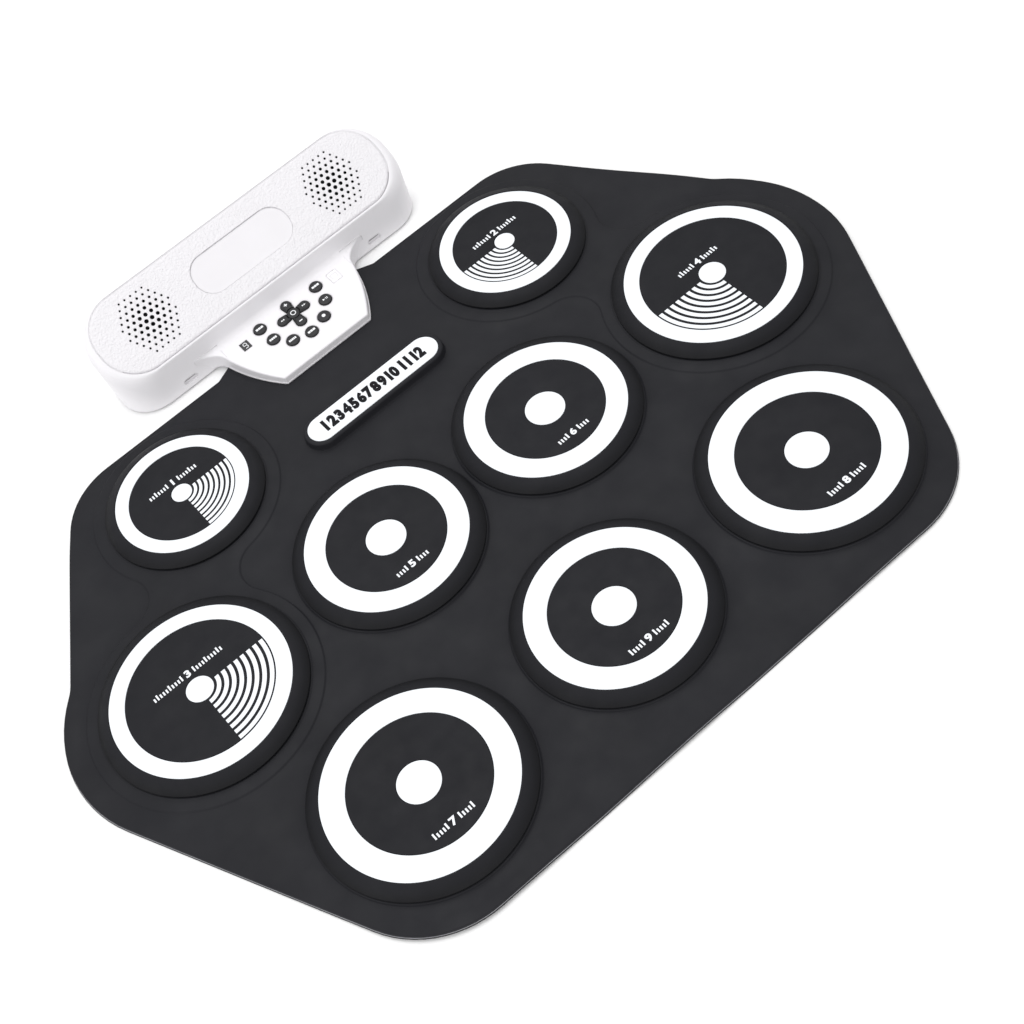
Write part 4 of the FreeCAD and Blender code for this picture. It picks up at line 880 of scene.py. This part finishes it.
def make_badge():
    base_low, base_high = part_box("badge_base")
    plate_low, plate_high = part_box("badge_plate")
    centre = middle("badge_plate")
    bm = bmesh.new()
    outer = pill_path(centre.x, centre.y, base_high.x - base_low.x, base_high.y - base_low.y)
    inner = pill_path(centre.x, centre.y, plate_high.x - plate_low.x + 2 * PLATE_GAP,
                      plate_high.y - plate_low.y + 2 * PLATE_GAP)
    rows = []
    for distance, z in ((-1.0, SHEET_TOP), (-0.35, SHEET_TOP + 0.15 * MM), (0.0, SHEET_TOP + 0.7 * MM),
                        (0.25, base_high.z - 1.3 * MM), (0.6, base_high.z - 0.6 * MM),
                        (1.2, base_high.z - 0.15 * MM), (2.0, base_high.z)):
        rows.append(add_row(bm, inset(outer, distance * MM), z))
    rows += [add_row(bm, inner, base_high.z), add_row(bm, inner, plate_low.z)]
    add_shell(bm, rows)
    piece(bm, "badge_cushion", silicone, MAIN, ["badge_base"])

    bm = bmesh.new()
    plate = pill_path(centre.x, centre.y, plate_high.x - plate_low.x, plate_high.y - plate_low.y)
    add_prism(bm, plate, plate_low.z, plate_high.z, 0.25 * MM)
    piece(bm, "badge_face", inlay, MAIN, ["badge_plate"])

    bm = bmesh.new()
    # the numbers 1 to 12, spread over the plate
    widths = [BADGE_DIGIT * len(str(number)) for number in range(1, 13)]
    x = centre.x - (sum(widths) + BADGE_GAP * (len(widths) - 1)) / 2
    low, high = plate_high.z - PRINT_SUNK, plate_high.z + PRINT
    for number, width in enumerate(widths, start=1):
        add_numeral(bm, str(number), x + width / 2, centre.y, low, high, BADGE_DIGIT_HIGH, 0.76, 0.075)
        x += width + BADGE_GAP
    piece(bm, "badge_numbers", mark_black, MAIN)


# ---- keys

KEY_ROUND = 4.55 * MM
MIDDLE_KEY_ROUND = 4.5 * MM
KEY_DEEP = 3.9 * MM
PETAL_HEADINGS = {
    "next_key": 0.0,
    "volume_up_key": math.radians(90),
    "previous_key": math.radians(180),
    "volume_down_key": math.radians(270),
}
CROSS_REACH = 9.2 * MM
PETAL_ROUND = 3.8 * MM
PETAL_INNER_HALF = 2.9 * MM
PETAL_INNER_ROUND = 5.0 * MM
MARK_LOW = -0.3 * MM
MARK_HIGH = 0.04 * MM
MARK_UNIT = 0.95 * MM
BLOCKS_LONG = 6.0 * MM


def tongue_matrix(place):
    """Stands a piece built round the origin on the tongue, at place."""
    return Matrix.Translation(place) @ Matrix.Rotation(TONGUE_SLOPE, 4, "X")


def petal_path():
    """A petal that points along X: round outside, hollow towards the key in the middle of the cross."""
    inner_x = math.sqrt(PETAL_INNER_ROUND ** 2 - PETAL_INNER_HALF ** 2)
    spread = math.atan2(PETAL_INNER_HALF, inner_x)
    path = []
    for turn in range(25):
        path.append(Vector((CROSS_REACH, 0)) + along(math.radians(-90 + 7.5 * turn)) * PETAL_ROUND)
    for step in range(9):
        path.append(along(spread * (1 - step / 4)) * PETAL_INNER_ROUND)
    return path


def add_petal(bm, heading, low, high):
    """A petal-shaped cap with a soft brow, turned to its heading about the cross's middle."""
    path = petal_path()
    rows = []
    for distance, z in ((0.15, low), (0.0, low + 0.15 * MM), (0.0, high - 0.6 * MM),
                        (0.06, high - 0.36 * MM), (0.22, high - 0.15 * MM), (0.5, high - 0.05 * MM),
                        (1.0, high)):
        rows.append(add_row(bm, inset(path, distance * MM), z))
    # the ends are hollow outlines, so they are divided here rather than left to a fan of triangles
    bmesh.ops.triangulate(bm, faces=add_shell(bm, rows))
    bmesh.ops.rotate(bm, verts=bm.verts, matrix=Matrix.Rotation(heading, 3, "Z"))


def make_petal_key(name):
    """A key of the cross, built round the cross's middle and then stood on the tongue."""
    heading = PETAL_HEADINGS[name]
    cross = topmost("power_key", TONGUE_UP)
    bm = bmesh.new()
    add_petal(bm, heading, -KEY_DEEP, 0.0)
    piece(bm, name + "_cap", key_rubber, name, [name], tongue_matrix(cross))

    bm = bmesh.new()
    spot = along(heading) * CROSS_REACH
    if name == "volume_up_key":
        add_bar(bm, spot.x, spot.y, 2.6 * MM, 0.75 * MM, MARK_LOW, MARK_HIGH)
        for side in (-1, 1):
            add_bar(bm, spot.x, spot.y + side * 0.86 * MM, 0.75 * MM, 0.95 * MM, MARK_LOW, MARK_HIGH)
    elif name == "volume_down_key":
        add_bar(bm, spot.x, spot.y, 2.6 * MM, 0.85 * MM, MARK_LOW, MARK_HIGH)
    else:
        pointing = 1 if name == "next_key" else -1
        for step in (-0.75, 0.75):
            add_triangle(bm, spot.x + step * MM, spot.y, 1.45 * MM, pointing, MARK_LOW, MARK_HIGH)
    piece(bm, name + "_mark", mark_white, name, matrix=tongue_matrix(cross))


def make_key(name):
    place = topmost(name, TONGUE_UP)
    low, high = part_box(name)
    flange = (high.x - low.x) / 2
    radius = MIDDLE_KEY_ROUND if name == "power_key" else KEY_ROUND
    corners = [(0.0, -KEY_DEEP, 0)]
    if name == "power_key":
        corners += [(radius, -KEY_DEEP, 0.15 * MM)]
    else:
        corners += [(flange, -KEY_DEEP, 0.15 * MM), (flange, -KEY_DEEP + 0.7 * MM, 0.15 * MM),
                    (radius, -KEY_DEEP + 0.7 * MM, 0.1 * MM)]
    corners += [(radius, -0.12 * MM, 0.55 * MM), (0.0, 0.0, 0)]
    profile = rounded(corners, closed=False, arc_step=math.radians(15))
    bm = bmesh.new()
    add_spun(bm, profile, Vector((0, 0)), count=64)
    piece(bm, name + "_cap", key_rubber, name, [name], tongue_matrix(place))

    bm = bmesh.new()
    if name == "power_key":
        ring = rounded([(1.45 * MM, MARK_LOW, 0), (2.05 * MM, MARK_LOW, 0),
                        (2.05 * MM, MARK_HIGH, 0), (1.45 * MM, MARK_HIGH, 0)])
        add_spun(bm, ring, Vector((0, 0)), count=48, ring=True)
    elif name == "play_key":
        add_triangle(bm, -0.9 * MARK_UNIT, 0, 1.9 * MARK_UNIT, 1, MARK_LOW, MARK_HIGH)
        for step in (0.95, 1.95):
            add_bar(bm, step * MARK_UNIT, 0, 0.5 * MARK_UNIT, 1.8 * MARK_UNIT, MARK_LOW, MARK_HIGH)
    elif name == "record_key":
        dot = 1.4 * MARK_UNIT
        profile = [(0, MARK_LOW), (dot, MARK_LOW), (dot, MARK_HIGH), (0, MARK_HIGH)]
        add_spun(bm, profile, Vector((0, 0)), count=32)
    else:
        # a short scale of blocks: three, four or five of them
        count = 3 + ARC_KEYS.index(name) % 3
        pitch = BLOCKS_LONG / count
        for block in range(count):
            x = (block - (count - 1) / 2) * pitch
            add_bar(bm, x, 0, pitch - 0.25 * MM, 1.75 * MARK_UNIT, MARK_LOW, MARK_HIGH)
    piece(bm, name + "_mark", mark_white, name, matrix=tongue_matrix(place))


# ---- console

# how many holes each row of a grille has
GRILLE_ROWS = (5, 6, 7, 8, 9, 8, 9, 8, 7, 6, 5)
SPEAKER_X = 78.5 * MM
HOLE_PITCH = 4.74 * MM
ROW_PITCH = 4.05 * MM
HOLE_MIDDLE = 3.2 * MM
HOLE_OUTER = 1.45 * MM
CLOTH_DEEP = 2.9 * MM
FACE_CORNER_X = 92.7 * MM
FACE_CORNER_Y = 2.2 * MM
FACE_ROUND = 28.0 * MM


def face_matrix():
    """Stands a piece built round the origin on the middle of the console's face."""
    return Matrix.Translation(topmost("face_cover", FACE_UP)) @ Matrix.Rotation(FACE_TILT, 4, "X")


def make_grille_cloth():
    """Black cloth that fills each grille hole to just under the surface."""
    bm = bmesh.new()
    for side in (-1, 1):
        for row, count in enumerate(GRILLE_ROWS):
            y = (row - 5) * ROW_PITCH
            for column in range(count):
                x = (column - (count - 1) / 2) * HOLE_PITCH
                fade = min(math.hypot(x, y) / (5 * ROW_PITCH), 1.0)
                radius = (HOLE_MIDDLE + (HOLE_OUTER - HOLE_MIDDLE) * fade) / 2 - 0.03 * MM
                plug = [(0.0, -CLOTH_DEEP), (radius, -CLOTH_DEEP), (radius, -0.05 * MM), (0.0, -0.03 * MM)]
                add_spun(bm, plug, Vector((side * SPEAKER_X + x, y)), count=16)
    piece(bm, "grille_cloth", grille_cloth, MAIN, matrix=face_matrix())


def make_cover_gasket():
    """A white gasket in the cover's seam, left out along the front where the seam stays open."""
    outer, inner = [], []
    for x, y, start, end in ((1, -1, -35, 0), (1, 1, 0, 90), (-1, 1, 90, 180), (-1, -1, 180, 215)):
        centre = Vector((x * FACE_CORNER_X, y * FACE_CORNER_Y))
        steps = math.ceil((end - start) / 4)
        for step in range(steps + 1):
            turn = along(math.radians(start + (end - start) * step / steps))
            outer.append(centre + turn * (FACE_ROUND - 1.02 * MM))
            inner.append(centre + turn * (FACE_ROUND - 1.75 * MM))
    bm = bmesh.new()
    add_ribbon(bm, outer, inner, -0.95 * MM, -0.5 * MM)
    piece(bm, "cover_gasket", housing_plastic, MAIN, matrix=face_matrix())


TONGUE_TOP = 9.0 * MM
TONGUE_FRONT_HALF = 35.6 * MM
TONGUE_WIDE_HALF = 55.5 * MM
TONGUE_WIDE_Y = 182.0 * MM
TONGUE_ROOT_HALF = 59.0 * MM
TONGUE_BULGE = 2.4 * MM
TONGUE_FRONT_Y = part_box("console_housing")[0].y
BEAD_OUT = 0.5 * MM
BEAD_IN = 0.3 * MM
BEAD_HIGH = 0.75 * MM


def make_tongue_bead():
    """The fine bright bead along the foot of the tongue's walls."""
    start = Vector((TONGUE_FRONT_HALF, TONGUE_FRONT_Y))
    wide = Vector((TONGUE_WIDE_HALF, TONGUE_WIDE_Y))
    chord = wide - start
    outwards = Vector((chord.y, -chord.x)).normalized()
    side = []
    for step in range(25):
        t = step / 24
        side.append(start.lerp(wide, t) + outwards * TONGUE_BULGE * 4 * t * (1 - t))
    side.append(Vector((TONGUE_ROOT_HALF - 1.0 * MM, TONGUE_WIDE_Y + 6.0 * MM)))
    path = [Vector((-p.x, p.y)) for p in reversed(side)] + side
    outer, inner = [], []
    for index, here in enumerate(path):
        before = path[max(index - 1, 0)]
        after = path[min(index + 1, len(path) - 1)]
        run = (after - before).normalized()
        away = Vector((run.y, -run.x))
        outer.append(here + away * BEAD_OUT)
        inner.append(here - away * BEAD_IN)
    bm = bmesh.new()
    add_ribbon(bm, outer, inner, SHEET_TOP, SHEET_TOP + BEAD_HIGH)
    piece(bm, "tongue_bead", housing_plastic, MAIN)


FLARE_LOW = 3.05 * MM
FLARE_START = Vector((54.95 * MM, 180.5 * MM))
FLARE_TURN = Vector((58.3 * MM, 191.75 * MM))
FLARE_END = Vector((73.0 * MM, 191.75 * MM))
FLARE_INNER_X = 53.5 * MM
FLARE_EDGE = 1.0 * MM
FLARE_RISE = 2.6 * MM
FLARE_STEPS = 28


def flare_section(place):
    """The flare cut across at one point of its hollow edge: foot, rounded shoulder, flat top."""
    plane = TONGUE_TOP + (place.y - TONGUE_FRONT_Y) * math.tan(TONGUE_SLOPE) + 0.02 * MM
    near = max(place.y - (FLARE_END.y - FLARE_RISE), 0.0)
    top = plane + FLARE_RISE - math.sqrt(max(FLARE_RISE ** 2 - near ** 2, 0.0))
    corners = [(place.x, FLARE_LOW)]
    for turn in range(0, 91, 15):
        angle = math.radians(turn)
        corners.append((place.x - FLARE_EDGE * (1 - math.cos(angle)),
                        top - FLARE_EDGE * (1 - math.sin(angle))))
    return corners + [(FLARE_INNER_X, top), (FLARE_INNER_X, FLARE_LOW)]


def make_tongue_flares():
    """The hollow corners where the tongue's sides sweep out into the front wall."""
    places = []
    for step in range(FLARE_STEPS + 1):
        t = step / FLARE_STEPS
        places.append(FLARE_START * (1 - t) ** 2 + FLARE_TURN * 2 * t * (1 - t) + FLARE_END * t * t)
    places.append(FLARE_END + Vector((0, 0.6 * MM)))
    for side, word in ((-1, "left"), (1, "right")):
        bm = bmesh.new()
        loops = [[bm.verts.new((side * x, place.y, z)) for x, z in flare_section(place)] for place in places]
        add_shell(bm, loops)
        piece(bm, f"tongue_flare_{word}", housing_plastic, MAIN)


DENT_X = 80.5 * MM
DENT_Z = 7.4 * MM
DENT_FLOOR_Y = 192.2 * MM


def make_dent_slots():
    """A thin dark grey strip along the top of each dent in the front wall: painted shadow under the dent's
    upper edge.
    """
    bm = bmesh.new()
    for side in (-1, 1):
        shadow_strip = []
        for x, z in ((-4.4, 0.15), (4.4, 0.15), (4.0, 1.15), (-4.0, 1.15)):
            shadow_strip.append(Vector((side * DENT_X + x * MM, DENT_Z + z * MM)))
        add_shell(bm, [[bm.verts.new((p.x, DENT_FLOOR_Y + back * MM, p.y)) for p in shadow_strip]
                       for back in (0.3, -0.15)])
    piece(bm, "dent_shadow_strips", dent_shadow_grey, MAIN)


def make_display_marks():
    """A seven-segment numeral on the display and a bracket on the indicator."""
    place = topmost("digit_display", TONGUE_UP)
    bm = bmesh.new()
    low, high = -0.1 * MM, MARK_HIGH
    wide, tall, thick = 2.4 * MM, 2.2 * MM, 0.5 * MM
    for y in (-tall, 0.0, tall):
        add_bar(bm, 0, y, wide - 0.15 * MM, thick, low, high)
    for x, y in ((-1, 0.5), (1, 0.5), (1, -0.5)):
        add_bar(bm, x * wide / 2, y * tall, thick, tall - thick - 0.15 * MM, low, high)
    piece(bm, "display_numeral", mark_white, MAIN, matrix=tongue_matrix(place))
    place = topmost("indicator_lens", TONGUE_UP)
    bm = bmesh.new()
    for side in (-1, 1):
        add_bar(bm, side * 2.4 * MM, 0.4 * MM, 0.5 * MM, 3.6 * MM, low, high)
        add_bar(bm, side * 1.9 * MM, -1.6 * MM, 1.4 * MM, 0.5 * MM, low, high)
    add_bar(bm, 0, 2.2 * MM, 5.3 * MM, 0.5 * MM, low, high)
    piece(bm, "indicator_bracket", mark_grey, MAIN, matrix=tongue_matrix(place))

    # a flush white gasket round the indicator
    bm = bmesh.new()
    low, high = -0.5 * MM, -0.04 * MM
    for side in (-1, 1):
        add_bar(bm, side * 3.85 * MM, 0, 0.2 * MM, 9.4 * MM, low, high)
        add_bar(bm, 0, side * 4.6 * MM, 7.9 * MM, 0.2 * MM, low, high)
    piece(bm, "indicator_gasket", housing_plastic, MAIN, matrix=tongue_matrix(place))


# ---- stage

VIEW_TARGET = Vector((0.5 * MM, -66.0 * MM, 11.3 * MM))
VIEW_DISTANCE = 1.0
VIEW_AZIMUTH = math.radians(20.095)
VIEW_ELEVATION = math.radians(53.221)
VIEW_ROLL = math.radians(-23.212)
VIEW_LENS = 58.605


def make_camera():
    back = Vector((
        -math.sin(VIEW_AZIMUTH) * math.cos(VIEW_ELEVATION),
        -math.cos(VIEW_AZIMUTH) * math.cos(VIEW_ELEVATION),
        math.sin(VIEW_ELEVATION),
    ))
    data = bpy.data.cameras.new("camera")
    data.lens = VIEW_LENS
    data.sensor_width = 36.0
    data.clip_end = 50.0
    camera = bpy.data.objects.new("camera", data)
    camera.rotation_mode = "QUATERNION"
    camera.location = VIEW_TARGET + back * VIEW_DISTANCE
    upright = back.to_track_quat("Z", "Y")
    roll = Matrix.Rotation(VIEW_ROLL, 3, "Z").to_quaternion()
    camera.rotation_quaternion = upright @ roll
    link_object(camera)
    bpy.context.scene.camera = camera


def add_light(name, place, size, power, aim=(0.0, 0.0, 0.0)):
    data = bpy.data.lights.new(name, "AREA")
    data.shape = "DISK"
    data.size = size
    data.energy = power
    light = bpy.data.objects.new(name, data)
    light.location = place
    light.rotation_mode = "QUATERNION"
    light.rotation_quaternion = (Vector(place) - Vector(aim)).to_track_quat("Z", "Y")
    link_object(light)


def make_stage():
    world = bpy.data.worlds.new("studio")
    world.use_nodes = True
    background = world.node_tree.nodes["Background"]
    background.inputs["Color"].default_value = (1.0, 1.0, 1.0, 1)
    background.inputs["Strength"].default_value = 0.75
    bpy.context.scene.world = world
    add_light("overhead", (0.1, 0.5, 1.9), 1.6, 16.0)
    add_light("left_fill", (-1.7, -0.2, 1.1), 1.2, 7.0)
    add_light("front_fill", (-0.4, -2.0, 0.9), 1.4, 8.0)
    bm = bmesh.new()
    bmesh.ops.create_grid(bm, x_segments=1, y_segments=1, size=4.0)
    mesh = bpy.data.meshes.new("floor")
    bm.to_mesh(mesh)
    bm.free()
    mesh.materials.append(surface("floor_paper", (0.97, 0.97, 0.97), 0.9, 0.0, blotch=1.0, spread=0.003,
                                  grain=60.0, relief=0.01 * MM))
    floor = bpy.data.objects.new("floor", mesh)
    link_object(floor)
    bpy.context.scene.view_settings.view_transform = "Standard"


make_camera()
make_stage()
dress_cad_nodes()
make_mat()
for number, name in enumerate(PADS, start=1):
    make_pad(number, name)
make_badge()
for name in (*ARC_KEYS, "power_key"):
    make_key(name)
for name in PETAL_HEADINGS:
    make_petal_key(name)
make_display_marks()
make_tongue_bead()
make_tongue_flares()
make_dent_slots()
make_grille_cloth()
make_cover_gasket()
